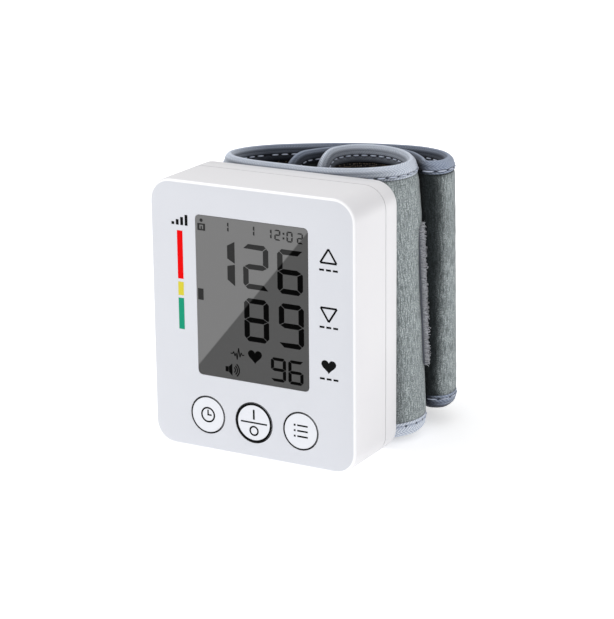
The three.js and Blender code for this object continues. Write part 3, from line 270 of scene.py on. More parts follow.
def solder_mask():
    """Glass-fibre board under green solder mask: the copper tracks show as lighter lines, about
    0.4 mm wide and 1.3 mm apart."""
    material, tree = new_finish("green solder mask board")
    place = add_node(tree, "ShaderNodeTexCoord").outputs["Object"]
    tracks = add_node(tree, "ShaderNodeTexWave", {
        "Vector": place,
        "Scale": 0.314 / (1.3 * MM),
        "Distortion": 6.0,
        "Detail": 1.0,
        "Detail Scale": 0.6,
    }, bands_direction="Z")
    track = add_node(tree, "ShaderNodeMapRange", {
        "Value": tracks.outputs["Fac"],
        "From Min": 0.6,
        "From Max": 0.7,
    })
    colour = add_node(tree, "ShaderNodeMix", {
        "Factor": track.outputs["Result"],
        6: linear("1C5A34"),
        7: linear("2F7A48"),
    }, data_type="RGBA")
    bump = add_node(tree, "ShaderNodeBump", {
        "Height": track.outputs["Result"],
        "Distance": 0.03 * MM,
        "Strength": 0.6,
    })
    surface(tree, {
        "Base Color": colour.outputs[2],
        "Roughness": 0.3,
        "IOR": 1.5,
        "Normal": bump.outputs["Normal"],
    })
    return material


CELL_BAND_Z = 46


def cell_wrap():
    """Shrink wrap of a dry cell: a dark glossy film with a warm metallic band round its upper end."""
    material, tree = new_finish("dry cell shrink wrap")
    place = add_node(tree, "ShaderNodeTexCoord").outputs["Object"]
    height = add_node(tree, "ShaderNodeSeparateXYZ", {"Vector": place}).outputs["Z"]
    band = add_node(tree, "ShaderNodeMath", {0: height, 1: CELL_BAND_Z * MM}, operation="GREATER_THAN")
    colour = add_node(tree, "ShaderNodeMix", {
        "Factor": band.outputs[0],
        6: linear("23262B"),
        7: linear("B98A45"),
    }, data_type="RGBA")
    surface(tree, {
        "Base Color": colour.outputs[2],
        "Roughness": uneven_gloss(tree, place, 4, 2.0, 0.2, 0.32),
        "IOR": 1.55,
    })
    return material


def shade_between(tree, reach_mm, colour, deepest, power, lit_to_mm=0):
    """A cloth's colour, deepened where another layer lies close and little light reaches the yarn.
    The pale table below lights the cloth, so the share of an upright wall's view that it takes up
    is left out: arccos(s) - s sqrt(1 - s s), over pi, at s = height / reach, and a little more for
    the light it gives. What faces the table up to a height is lit by it."""
    near = add_node(tree, "ShaderNodeAmbientOcclusion", {"Distance": reach_mm * MM}, samples=16)
    place = add_node(tree, "ShaderNodeTexCoord").outputs["Object"]
    z = add_node(tree, "ShaderNodeSeparateXYZ", {"Vector": place}).outputs["Z"]
    height = add_node(tree, "ShaderNodeMapRange", {"Value": z, "From Max": reach_mm * MM}).outputs[0]
    angle = add_node(tree, "ShaderNodeMath", {0: height}, operation="ARCCOSINE").outputs[0]
    sine = add_node(tree, "ShaderNodeMath", {0: angle}, operation="SINE").outputs[0]
    side = add_node(tree, "ShaderNodeMath", {0: height, 1: sine}, operation="MULTIPLY").outputs[0]
    table = add_node(tree, "ShaderNodeMath", {0: angle, 1: side}, operation="SUBTRACT").outputs[0]
    rest = add_node(tree, "ShaderNodeMath", {0: table, 1: -1.2 / math.pi, 2: 1.0}, operation="MULTIPLY_ADD")
    share = add_node(tree, "ShaderNodeMath", {0: near.outputs["AO"], 1: rest.outputs[0]},
                     operation="DIVIDE", use_clamp=True)
    lit = add_node(tree, "ShaderNodeMath", {0: share.outputs[0], 1: power}, operation="POWER")
    if lit_to_mm:
        low = add_node(tree, "ShaderNodeMapRange", {
            "Value": z,
            "From Min": lit_to_mm * MM,
            "From Max": (lit_to_mm + 3) * MM,
            "To Min": 0.95,
            "To Max": 0.0,
        })
        lit = add_node(tree, "ShaderNodeMath", {0: lit.outputs[0], 1: low.outputs[0]}, operation="MAXIMUM")
    dark = add_node(tree, "ShaderNodeMix", {
        "Factor": 1.0,
        6: colour,
        7: linear(deepest),
    }, data_type="RGBA", blend_type="MULTIPLY")
    mixed = add_node(tree, "ShaderNodeMix", {
        "Factor": lit.outputs[0],
        6: dark.outputs[2],
        7: colour,
    }, data_type="RGBA")
    return mixed.outputs[2]


# Millimetres along the cuff between which the pile comes to lie in the deep shade behind the
# housing, and between which it leaves it again, past the flap's bend
SHADE_START = (130.0, 160.0)
SHADE_END = (205.0, 225.0)
OPEN_POWER = 2.0
SHADED_POWER = 22.0


def loop_pile(name, reach_mm):
    """Brushed nylon loop pile: short loops in rows up the cloth, grey-green heathered yarn, with
    dark hollows between the loops. The loops are about 0.2 mm, drawn nearly twice as coarse.
    The pile loses more light on the flap, round the bend that lies behind the housing."""
    material, tree = new_finish(name)
    flat = add_node(tree, "ShaderNodeUVMap").outputs["UV"]
    along = add_node(tree, "ShaderNodeSeparateXYZ", {"Vector": flat}).outputs["X"]
    into_shade = add_node(tree, "ShaderNodeMapRange", {
        "Value": along,
        "From Min": SHADE_START[0],
        "From Max": SHADE_START[1],
        "To Min": OPEN_POWER,
        "To Max": SHADED_POWER,
    })
    out_of_shade = add_node(tree, "ShaderNodeMapRange", {
        "Value": along,
        "From Min": SHADE_END[0],
        "From Max": SHADE_END[1],
        "To Min": SHADED_POWER,
        "To Max": OPEN_POWER,
    })
    power = add_node(tree, "ShaderNodeMath", {0: into_shade.outputs[0], 1: out_of_shade.outputs[0]},
                     operation="MINIMUM")
    # Rows of loops 0.35 mm apart, that hold together for about 3 mm up the cloth
    rows = add_node(tree, "ShaderNodeVectorMath", {0: flat, 1: (1 / 0.35, 1 / 3.0, 1.0)},
                    operation="MULTIPLY")
    tufts = add_node(tree, "ShaderNodeVectorMath", {0: flat, 1: (1 / 0.25, 1 / 0.42, 1.0)},
                     operation="MULTIPLY")
    streaks = add_node(tree, "ShaderNodeTexNoise", {
        "Vector": rows.outputs[0],
        "Scale": 1.0,
        "Detail": 2.0,
        "Roughness": 0.6,
    })
    loops = add_node(tree, "ShaderNodeTexNoise", {"Vector": tufts.outputs[0], "Scale": 1.0, "Detail": 2.0})
    drift = add_node(tree, "ShaderNodeTexNoise", {"Vector": flat, "Scale": 1 / 9.0, "Detail": 2.0})
    loop_share = add_node(tree, "ShaderNodeMapRange", {
        "Value": loops.outputs["Fac"],
        "From Min": 0.34,
        "From Max": 0.66,
    })
    hollow = add_node(tree, "ShaderNodeMapRange", {
        "Value": streaks.outputs["Fac"],
        "From Min": 0.33,
        "From Max": 0.6,
    })
    heather = add_node(tree, "ShaderNodeMix", {
        "Factor": loop_share.outputs["Result"],
        6: linear("737C7D"),
        7: linear("D3DADC"),
    }, data_type="RGBA")
    faded = add_node(tree, "ShaderNodeMix", {
        "Factor": drift.outputs["Fac"],
        6: heather.outputs[2],
        7: linear("E6E8E8"),
    }, data_type="RGBA", blend_type="MULTIPLY")
    colour = add_node(tree, "ShaderNodeMix", {
        "Factor": hollow.outputs["Result"],
        6: linear("6A7273"),
        7: faded.outputs[2],
    }, data_type="RGBA")
    height = add_node(tree, "ShaderNodeMath", {0: streaks.outputs["Fac"], 1: loops.outputs["Fac"]},
                      operation="ADD")
    bump = add_node(tree, "ShaderNodeBump", {
        "Height": height.outputs[0],
        "Distance": 0.3 * MM,
        "Strength": 0.8,
    })
    surface(tree, {
        "Base Color": shade_between(tree, reach_mm, colour.outputs[2], "414648", power.outputs[0]),
        "Roughness": 0.92,
        "IOR": 1.5,
        "Specular IOR Level": 0.15,
        "Sheen Weight": 0.12,
        "Sheen Roughness": 0.5,
        "Normal": bump.outputs["Normal"],
    })
    return material


def spacer_mesh():
    """Knitted spacer mesh: near-black polyester, whose stitches show as rows of warm specks between
    the dark holes. The real stitches are about 0.5 mm apart, drawn at 0.72 mm."""
    material, tree = new_finish("dark polyester mesh")
    flat = add_node(tree, "ShaderNodeUVMap").outputs["UV"]
    knots = add_node(tree, "ShaderNodeTexVoronoi", {"Vector": flat, "Scale": 1 / 0.72, "Randomness": 0.35})
    hole = add_node(tree, "ShaderNodeMapRange", {
        "Value": knots.outputs["Distance"],
        "From Min": 0.2,
        "From Max": 0.34,
    })
    # The place on the flat cloth counts in millimetres, not in metres, and the yarn's blobs are 1.6 mm
    yarn = speckled(tree, flat, 1.6 / MM, "4E4A4B", "A08D75")
    colour = add_node(tree, "ShaderNodeMix", {
        "Factor": hole.outputs["Result"],
        6: yarn,
        7: linear("0B0B0E"),
    }, data_type="RGBA")
    bump = add_node(tree, "ShaderNodeBump", {
        "Height": hole.outputs["Result"],
        "Distance": -0.15 * MM,
        "Strength": 1.0,
    })
    surface(tree, {
        "Base Color": colour.outputs[2],
        "Roughness": 0.7,
        "IOR": 1.57,
        "Specular IOR Level": 0.2,
        "Normal": bump.outputs["Normal"],
    })
    return material


def twill_tape(name, shade_from, shade_to, lit_to_mm=0):
    """Woven polyester twill tape: fine slanting ribs catch the light, and the needle's dents between
    the stitches are darkened with painted shade. The real ribs are about 0.35 mm apart, drawn at 0.6 mm.
    The shade of the flap comes in from shade_from to shade_to, in mm along the tape."""
    material, tree = new_finish(name)
    flat = add_node(tree, "ShaderNodeUVMap").outputs["UV"]
    parts = add_node(tree, "ShaderNodeSeparateXYZ", {"Vector": flat})
    along = parts.outputs["X"]
    thread = add_node(tree, "ShaderNodeTexNoise", {"Vector": flat, "Scale": 1 / 0.5, "Detail": 2.0})
    slant = add_node(tree, "ShaderNodeMath", {0: along, 1: parts.outputs["Y"]}, operation="ADD")
    uneven = add_node(tree, "ShaderNodeMath", {0: thread.outputs["Fac"], 1: 0.5, 2: slant.outputs[0]},
                      operation="MULTIPLY_ADD")
    angle = add_node(tree, "ShaderNodeMath", {0: uneven.outputs[0], 1: math.tau / (RIB_PITCH * 2 ** 0.5)},
                     operation="MULTIPLY")
    wave = add_node(tree, "ShaderNodeMath", {0: angle.outputs[0]}, operation="SINE")
    ribs = add_node(tree, "ShaderNodeMapRange", {"Value": wave.outputs[0], "From Min": -1.0})
    lit = add_node(tree, "ShaderNodeMix", {
        "Factor": thread.outputs["Fac"],
        6: linear("D6DDE8"),
        7: linear("ECF0F6"),
    }, data_type="RGBA")
    woven = add_node(tree, "ShaderNodeMix", {
        "Factor": ribs.outputs["Result"],
        6: linear("A4AFC2"),
        7: lit.outputs[2],
    }, data_type="RGBA")
    # A painted shade in the dent at every stitch's end, on the two lines of stitches, one on each side of the
    # crest
    turns = add_node(tree, "ShaderNodeMath", {0: along, 1: 1 / STITCH_PITCH, 2: 0.5},
                     operation="MULTIPLY_ADD")
    turn = add_node(tree, "ShaderNodeMath", {0: turns.outputs[0]}, operation="FRACT")
    beside = add_node(tree, "ShaderNodeMath", {0: turn.outputs[0], 1: STITCH_PITCH, 2: -STITCH_PITCH / 2},
                      operation="MULTIPLY_ADD")
    either = add_node(tree, "ShaderNodeMath", {0: parts.outputs["Y"]}, operation="ABSOLUTE")
    above = add_node(tree, "ShaderNodeMath", {0: either.outputs[0], 1: STITCH_LINE}, operation="SUBTRACT")
    away = add_node(tree, "ShaderNodeCombineXYZ", {"X": beside.outputs[0], "Y": above.outputs[0]})
    oval = add_node(tree, "ShaderNodeVectorMath", {0: away.outputs[0], 1: (1 / 0.45, 1 / 0.32, 0.0)},
                    operation="MULTIPLY")
    reach = add_node(tree, "ShaderNodeVectorMath", {0: oval.outputs[0]}, operation="LENGTH")
    beyond_dent_shade = add_node(tree, "ShaderNodeMapRange", {
        "Value": reach.outputs["Value"],
        "From Min": 0.5,
        "From Max": 1.2,
    })
    # The dents' dark colour 3F4859 is painted shade
    colour = add_node(tree, "ShaderNodeMix", {
        "Factor": beyond_dent_shade.outputs["Result"],
        6: linear("3F4859"),
        7: woven.outputs[2],
    }, data_type="RGBA")
    shaded = add_node(tree, "ShaderNodeMapRange", {
        "Value": along,
        "From Min": shade_from,
        "From Max": shade_to,
    }).outputs["Result"]
    behind = add_node(tree, "ShaderNodeMix", {
        "Factor": shaded,
        6: colour.outputs[2],
        7: linear("BAC0CB"),
    }, data_type="RGBA", blend_type="MULTIPLY")
    power = add_node(tree, "ShaderNodeMapRange", {"Value": shaded, "To Min": 2.2, "To Max": 3.8})
    bump = add_node(tree, "ShaderNodeBump", {
        "Height": ribs.outputs["Result"],
        "Distance": 0.1 * MM,
        "Strength": 0.9,
    })
    surface(tree, {
        "Base Color": shade_between(tree, 36, behind.outputs[2], "2A303C", power.outputs[0], lit_to_mm),
        "Roughness": 0.62,
        "IOR": 1.54,
        "Specular IOR Level": 0.25,
        "Sheen Weight": 0.1,
        "Normal": bump.outputs["Normal"],
    })
    return material


def sewing_thread():
    """Twisted polyester thread: a soft sheen broken by the twist. Its turns of about 0.25 mm are
    drawn as specks of 0.6 mm."""
    material, tree = new_finish("grey blue sewing thread")
    place = add_node(tree, "ShaderNodeTexCoord").outputs["Object"]
    surface(tree, {
        "Base Color": speckled(tree, place, 0.6, "98A2B8", "C2C9D7"),
        "Roughness": 0.5,
        "IOR": 1.54,
        "Sheen Weight": 0.3,
    })
    return material


def hook_tape(name, first, second):
    """Nylon hook tape: shiny cut monofilament, whose tips catch the light, on a darker woven ground."""
    material, tree = new_finish(name)
    place = add_node(tree, "ShaderNodeTexCoord").outputs["Object"]
    surface(tree, {
        "Base Color": speckled(tree, place, 0.7, first, second, 3.0),
        "Roughness": 0.4,
        "IOR": 1.53,
        "Sheen Weight": 0.15,
    })
    return material


def bladder_film():
    """Calendered film of the air bladder: dull blue-grey, with a faint leathery press mark."""
    material, tree = new_finish("bladder film")
    place = add_node(tree, "ShaderNodeTexCoord").outputs["Object"]
    marks = add_node(tree, "ShaderNodeTexVoronoi", {"Vector": place, "Scale": 1 / (0.8 * MM)})
    bump = add_node(tree, "ShaderNodeBump", {
        "Height": marks.outputs["Distance"],
        "Distance": 0.04 * MM,
        "Strength": 0.7,
    })
    surface(tree, {
        "Base Color": speckled(tree, place, 2.5, "77808C", "8E97A3"),
        "Roughness": 0.45,
        "IOR": 1.52,
        "Normal": bump.outputs["Normal"],
    })
    return material


def studio_floor():
    """Matt white studio paper with a very faint fibre mottle, lit from below as a light table is."""
    material, tree = new_finish("white studio paper")
    place = add_node(tree, "ShaderNodeTexCoord").outputs["Object"]
    surface(tree, {
        "Base Color": speckled(tree, place, 60, "F8F8F9", "FCFCFC"),
        "Roughness": 0.9,
        "IOR": 1.45,
        "Specular IOR Level": 0.1,
        "Emission Color": (1.0, 1.0, 1.0, 1.0),
        "Emission Strength": 0.44,
    })
    return material


shell_white = shell_abs()
pale_rubber = moulded("pale silicone tube", "B9BCC0", "C9CCD0", 0.5, 0.4, 0.008, 1.43)
black_rubber = moulded("black moulded silicone rubber", "121315", "1B1C1F", 0.62, 0.3, 0.01, 1.43)
# Each film's lighter first colour, over the screen's upper left half, is a painted reflection
window_film = film_with_painted_glare("screen film", "727272", "4B4B4B", 0.12)
segment_film = film_with_painted_glare("screen segments", "303030", "010101", 0.02)
black_ink = printed_ink("black screen print", "08090A")
red_ink = printed_ink("red screen print", "E20002")
yellow_ink = printed_ink("yellow screen print", "D2C63E")
green_ink = printed_ink("green screen print", "1A9271")
pile = loop_pile("grey nylon loop pile", 7)
flap_pile = loop_pile("grey nylon loop pile of the flap", 70)
mesh_cloth = spacer_mesh()
# The fixed tape has no shade of the flap, the fold's goes into it and the flap's is all in it
NOT_SHADED = 1000.0
tape = twill_tape("slate blue twill tape", NOT_SHADED, NOT_SHADED + 1, 6)
fold_tape = twill_tape("slate blue twill tape of the fold", 9.0, 22.0)
flap_tape = twill_tape("slate blue twill tape of the flap", -2.0, -1.0)
thread = sewing_thread()
hooks = hook_tape("pale nylon hooks", "7C7F8B", "F6F7FA")
hook_ground = hook_tape("nylon hook ground", "34373F", "5A5E69")
film = bladder_film()

finish_of_slot = {
    "white_plastic": moulded("white moulded ABS", "DADCE2", "DEE0E5", 0.34, 0.35, 0.004),
    "grey_plastic": moulded("grey moulded ABS", "84888E", "8C9096", 0.45, 0.35, 0.006),
    "dark_plastic": moulded("dark moulded acetal", "2A2C30", "33353A", 0.38, 0.35, 0.005, 1.48),
    "window": window_film,
    "display_glass": printed_ink("liquid crystal panel glass", "8A8F8A", 0.2),
    "rubber": black_rubber,
    "steel": plated_steel(),
    "board": solder_mask(),
    "cell": cell_wrap(),
    "loop_pile": pile,
    "dark_mesh": mesh_cloth,
    "twill_tape": tape,
    "bladder_film": film,
    "hook_tape": hooks,
}
finish_of_node = dict.fromkeys(("front_shell", "rear_shell", "battery_cover"), shell_white)
finish_of_node.update(dict.fromkeys(("hose_pump", "hose_valve", "hose_sensor", "hose_cuff"), pale_rubber))


# Hard pieces of the frame


def smoothing_group():
    """Joins the facets of a moulded piece, then shades it smooth between its real edges."""
    group = bpy.data.node_groups.new("moulded shading", "GeometryNodeTree")
    for way in ("INPUT", "OUTPUT"):
        group.interface.new_socket("Geometry", in_out=way, socket_type="NodeSocketGeometry")
    given = add_node(group, "NodeGroupInput").outputs[0]
    joined = add_node(group, "GeometryNodeMergeByDistance", {"Geometry": given, "Distance": 1e-6})
    bare = add_node(group, "GeometryNodeRemoveAttribute", {
        "Geometry": joined.outputs["Geometry"],
        "Name": "custom_normal",
    })
    smooth = add_node(group, "GeometryNodeSetShadeSmooth", {
        "Geometry": bare.outputs["Geometry"],
        "Shade Smooth": True,
    })
    fold = add_node(group, "GeometryNodeInputMeshEdgeAngle").outputs["Unsigned Angle"]
    sharp = add_node(group, "FunctionNodeCompare", {"A": fold, "B": math.radians(32)},
                     operation="GREATER_THAN")
    edged = add_node(group, "GeometryNodeSetShadeSmooth", {
        "Geometry": smooth.outputs["Geometry"],
        "Selection": sharp.outputs["Result"],
        "Shade Smooth": False,
    }, domain="EDGE")
    add_node(group, "NodeGroupOutput", {0: edged.outputs["Geometry"]})
    return group


moulded_shading = smoothing_group()
for name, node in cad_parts.items():
    smoother = node.modifiers.new("moulded shading", "NODES")
    smoother.node_group = moulded_shading
    for holder in node.material_slots:
        slot = holder.material.name.split(".")[0]
        holder.material = finish_of_node.get(name, finish_of_slot[slot])


# Making a piece


def placed(name, data, finish, body):
    """Puts a mesh into the scene in its finish, riding on its body if it has one."""
    data.materials.append(finish)
    made = bpy.data.objects.new(name, data)
    bpy.context.scene.collection.objects.link(made)
    if body:
        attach(made, body)
    return made


def piece(name, points, faces, finish, body=None, flat=None, crease=50):
    """A piece from points in millimetres. flat gives each point's place on the unrolled cloth."""
    data = bpy.data.meshes.new(name)
    data.from_pydata((np.asarray(points) * MM).tolist(), [], [list(f) for f in faces])
    if flat is not None:
        layer = data.uv_layers.new(name="flat")
        corners = np.empty(len(data.loops), dtype=np.int32)
        data.loops.foreach_get("vertex_index", corners)
        layer.data.foreach_set("uv", np.asarray(flat, dtype=np.float32)[corners].ravel())
    data.polygons.foreach_set("use_smooth", [True] * len(data.polygons))
    data.set_sharp_from_angle(angle=math.radians(crease))
    return placed(name, data, finish, body)


def skin(rings, around, first=0):
    """The faces round a row of rings of points, with a cap on the first ring and the last."""
    faces = []
    for i in range(rings - 1):
        for k in range(around):
            a = first + i * around + k
            b = first + i * around + (k + 1) % around
            faces.append((a, b, b + around, a + around))
    last = first + (rings - 1) * around
    faces.append(tuple(first + k for k in reversed(range(around))))
    faces.append(tuple(last + k for k in range(around)))
    return faces


def check_way(made):
    """Turns a closed piece's faces outwards."""
    drawn = bmesh.new()
    drawn.from_mesh(made.data)
    bmesh.ops.recalc_face_normals(drawn, faces=drawn.faces)
    if drawn.calc_volume(signed=True) < 0:
        bmesh.ops.reverse_faces(drawn, faces=drawn.faces)
    drawn.to_mesh(made.data)
    drawn.free()


INK_THICKNESS = 0.03
INK_SINK = 0.01


def stamped(name, outlines, finish, body):
    """A thin layer on the face, from outlines of X and Z in millimetres that may share edges. It
    starts a hair under the face, so that no gap shows."""
    drawn = bmesh.new()
    for outline in outlines:
        drawn.faces.new([drawn.verts.new((x * MM, (FACE_Y + INK_SINK) * MM, z * MM)) for x, z in outline])
    bmesh.ops.remove_doubles(drawn, verts=drawn.verts, dist=1e-7)
    bmesh.ops.recalc_face_normals(drawn, faces=drawn.faces)
    raised = bmesh.ops.extrude_face_region(drawn, geom=drawn.faces[:], use_keep_orig=True)
    moved = [v for v in raised["geom"] if isinstance(v, bmesh.types.BMVert)]
    bmesh.ops.translate(drawn, verts=moved, vec=(0, -(INK_THICKNESS + INK_SINK) * MM, 0))
    bmesh.ops.recalc_face_normals(drawn, faces=drawn.faces)
    data = bpy.data.meshes.new(name)
    drawn.to_mesh(data)
    drawn.free()
    return placed(name, data, finish, body)


def ring_outlines(x, z, outer, inner, first=0, last=360, count=72):
    """The quads of a flat ring, or of a part of one between two angles."""
    steps = max(4, int(count * (last - first) / 360))
    angles = [math.radians(first + (last - first) * i / steps) for i in range(steps + 1)]
    quads = []
    for a, b in zip(angles, angles[1:]):
        quads.append([
            (x + outer * math.cos(a), z + outer * math.sin(a)),
            (x + outer * math.cos(b), z + outer * math.sin(b)),
            (x + inner * math.cos(b), z + inner * math.sin(b)),
            (x + inner * math.cos(a), z + inner * math.sin(a)),
        ])
    return quads


def ring_disc(x, z, radius):
    """A round dot."""
    angles = [math.pi * k / 10 for k in range(20)]
    return [(x + radius * math.cos(a), z + radius * math.sin(a)) for a in angles]


def bar(x0, z0, x1, z1):
    """An upright rectangle between two corners."""
    return [(x0, z0), (x1, z0), (x1, z1), (x0, z1)]


def stroke(x0, z0, x1, z1, width):
    """A straight line of that width between two points."""
    way = Vector((x1 - x0, z1 - z0)).normalized() * (width / 2)
    return [
        (x0 - way.y, z0 + way.x),
        (x0 + way.y, z0 - way.x),
        (x1 + way.y, z1 - way.x),
        (x1 - way.y, z1 + way.x),
    ]


def drawn_in(outline, depth):
    """A convex outline with each of its edges moved inwards by the depth."""
    points = [Vector(p) for p in outline]
    area = sum(a.x * b.y - b.x * a.y for a, b in zip(points, points[1:] + points[:1]))
    turn = 1 if area > 0 else -1
    lines = []
    for a, b in zip(points, points[1:] + points[:1]):
        way = (b - a).normalized()
        inward = Vector((-way.y, way.x)) * turn
        lines.append((a + inward * depth, way))
    moved = []
    for (before, way), (after, next_way) in zip([lines[-1]] + lines[:-1], lines):
        gap = after - before
        share = (gap.x * next_way.y - gap.y * next_way.x) / (way.x * next_way.y - way.y * next_way.x)
        moved.append(tuple(before + way * share))
    return moved


SEGMENTS_LIT = {
    "0": "abcdef", "1": "bc", "2": "abged", "6": "acdefg", "8": "abcdefg", "9": "abcdfg",
}


def digit(figure, x0, x1, z0, z1, width, gap):
    """A seven-segment figure in a box, with slanting cuts between its segments. The flat strokes are a
    little thinner than the upright ones, and run out to a point where the next segment is unlit."""
    lit = SEGMENTS_LIT[figure]
    middle = (z0 + z1) / 2
    thin = width * 0.88
    cut = width * 0.75
    tip = width * 0.2
    shapes = {}
    for flat, left, right, edge, way in (("a", "f", "b", z1, -1), ("d", "e", "c", z0, 1)):
        cut_z = edge + way * cut / 2
        if left in lit:
            outline = [(x0 + width, edge + way * thin), (x0 + cut / 2, cut_z), (x0 + cut, edge)]
        else:
            outline = [(x0, edge + way * thin * 0.9), (x0 + width * 0.9, edge)]
        if right in lit:
            outline += [(x1 - cut, edge), (x1 - cut / 2, cut_z), (x1 - width, edge + way * thin)]
        else:
            outline += [(x1, edge), (x1 - width * 0.9, edge + way * thin)]
        shapes[flat] = outline
        for upright, side, inwards in ((left, x0, 1), (right, x1, -1)):
            shapes[upright] = [
                (side, edge + way * cut),
                (side + inwards * cut / 2, cut_z),
                (side + inwards * width, edge + way * thin),
                (side + inwards * width, middle - way * thin / 2),
                (side + inwards * tip, middle),
                (side, middle - way * tip),
            ]
    shapes["g"] = [
        (x0 + tip, middle),
        (x0 + width, middle + thin / 2),
        (x1 - width, middle + thin / 2),
        (x1 - tip, middle),
        (x1 - width, middle - thin / 2),
        (x0 + width, middle - thin / 2),
    ]
    return [drawn_in(shapes[s], gap / 2) for s in lit]


def heart(x, z, width, height):
    """A heart between its sides and its tip."""
    outline = []
    for i in range(32):
        a = math.tau * i / 32
        across = math.sin(a) ** 3
        tall = (13 * math.cos(a) - 5 * math.cos(2 * a) - 2 * math.cos(3 * a) - math.cos(4 * a)) / 29
        outline.append((x + across * width / 2, z + (tall + 0.09) * height))
    return [outline]


# Prints on the face

SCALE_LEFT = -23.6
SCALE_RIGHT = -21.8
colour_bars = [
    ("red", red_ink, 49.6, 63.5),
    ("yellow", yellow_ink, 44.8, 48.7),
    ("green", green_ink, 34.9, 44.0),
]
for colour, ink, low, high in colour_bars:
    stamped(f"colour_bar_{colour}", [bar(SCALE_LEFT, low, SCALE_RIGHT, high)], ink, "housing")


def outline_triangle(x, z, half, height, width):
    """A triangle drawn as three lines, pointing up or, with a negative height, down."""
    corners = [(x - half, z), (x + half, z), (x, z + height)]
    return [stroke(*a, *b, width) for a, b in zip(corners, corners[1:] + corners[:1])]


# Generic marks: rising bars over the scale, and beside the three readings an up arrow for the higher, a
# down arrow for the lower and a heart for the pulse, each over a row of dashes
MARK_X = 24.3
marks = [
    ("mark_higher", outline_triangle(MARK_X, 59.9, 2.5, 3.9, 0.55)),
    ("mark_lower", outline_triangle(MARK_X, 47.3, 2.5, -3.9, 0.55)),
    ("mark_pulse", heart(24.2, 30.5, 4.6, 3.9)),
]
for name, shapes in marks:
    for number, shape in enumerate(shapes):
        stamped(f"{name}_{number + 1}", [shape], black_ink, "housing")
for name, z in (("mark_scale_higher", 57.9), ("mark_scale_lower", 41.8), ("mark_scale_pulse", 27.1)):
    dashes = [bar(x - 0.75, z - 0.28, x + 0.75, z + 0.28) for x in (MARK_X - 2.1, MARK_X, MARK_X + 2.1)]
    stamped(name, dashes, black_ink, "housing")
rising = [bar(-25.3 + 1.45 * i, 65.1, -24.4 + 1.45 * i, 65.9 + 0.75 * i) for i in range(4)]
stamped("mark_scale", rising, black_ink, "housing")

# The figures of the screen: the width of their strokes, and the gaps between their segments
BIG_STROKE = (1.88, 0.2)
PULSE_STROKE = (1.1, 0.12)
SMALL_STROKE = (0.56, 0.1)
middle_one = 55.95
shown = [
    [(-7.4, 61.0), (-5.02, 62.3), (-5.02, middle_one + 0.15), (-7.4, middle_one + 1.4)],
    [(-7.4, middle_one - 0.75), (-5.02, middle_one - 0.15), (-5.02, 49.7), (-7.4, 51.3)],
    *digit("2", -2.45, 5.75, 49.45, 62.35, *BIG_STROKE),
    *digit("6", 8.35, 16.5, 49.45, 62.2, *BIG_STROKE),
    *digit("8", -2.35, 5.7, 34.35, 46.95, *BIG_STROKE),
    *digit("9", 8.65, 16.7, 34.15, 46.95, *BIG_STROKE),
    *digit("9", 5.98, 10.85, 23.95, 30.95, *PULSE_STROKE),
    *digit("6", 11.5, 16.35, 23.85, 30.9, *PULSE_STROKE),
    bar(-17.12, 44.34, -15.35, 47.6),
]
small = [
    *digit("1", -7.8, -6.75, 64.7, 67.85, *SMALL_STROKE),
    *digit("1", 0.4, 1.45, 64.5, 67.7, *SMALL_STROKE),
    *digit("1", 5.45, 6.85, 64.4, 67.5, *SMALL_STROKE),
    *digit("2", 7.6, 9.6, 64.3, 67.4, *SMALL_STROKE),
    bar(10.25, 66.2, 10.8, 66.75),
    bar(10.25, 64.9, 10.8, 65.45),
    *digit("0", 11.4, 13.4, 64.2, 67.3, *SMALL_STROKE),
    *digit("2", 14.6, 16.6, 64.15, 67.25, *SMALL_STROKE),
]
user_mark = [
    ring_disc(-15.6, 67.25, 0.5),
    bar(-16.85, 64.35, -14.35, 64.75),
    bar(-16.85, 64.75, -16.2, 66.35),
    bar(-15.0, 64.75, -14.35, 66.35),
    bar(-16.2, 65.95, -15.0, 66.35),
    bar(-15.8, 64.75, -15.4, 65.6),
]
wave_line = [(-6.9, 30.1), (-6.2, 30.1), (-5.9, 30.7), (-5.5, 29.4), (-5.1, 30.4), (-4.8, 28.5), (-4.3, 31.9),
             (-3.9, 29.3), (-3.5, 30.6), (-3.1, 29.9), (-2.5, 30.1)]
wave = [stroke(*a, *b, 0.26) for a, b in zip(wave_line, wave_line[1:])]
speaker = [
    bar(-8.65, 24.55, -7.65, 26.05),
    [(-7.55, 24.5), (-6.45, 23.5), (-6.45, 27.1), (-7.55, 26.1)],
    *ring_outlines(-6.4, 25.3, 1.1, 0.75, -52, 52),
    *ring_outlines(-6.4, 25.3, 1.75, 1.4, -52, 52),
    *ring_outlines(-6.4, 25.3, 2.4, 2.05, -52, 52),
]
stamped("screen_figures", shown, segment_film, "housing")
stamped("screen_small_figures", small, segment_film, "housing")
stamped("screen_user_mark", user_mark, segment_film, "housing")
for number, shape in enumerate(wave):
    stamped(f"screen_wave_{number + 1}", [shape], segment_film, "housing")
stamped("screen_speaker", speaker, segment_film, "housing")
stamped("screen_heart", heart(0.95, 29.95, 4.45, 3.95), segment_film, "housing")

# The keys: a black ring in the rubber finish fills the gap round each, a dark piece put where the gap's shade
# is, and each carries a plain mark
KEY_Z = 10.66
keys = {"left_key": (-14.75, 5.35), "middle_key": (0.25, 5.75), "right_key": (15.25, 5.35)}
GAP_SHADE_RING_LOW = 11.2
GAP_SHADE_RING_HIGH = 12.28
GAP_SHADE_RING_SIDES = 96


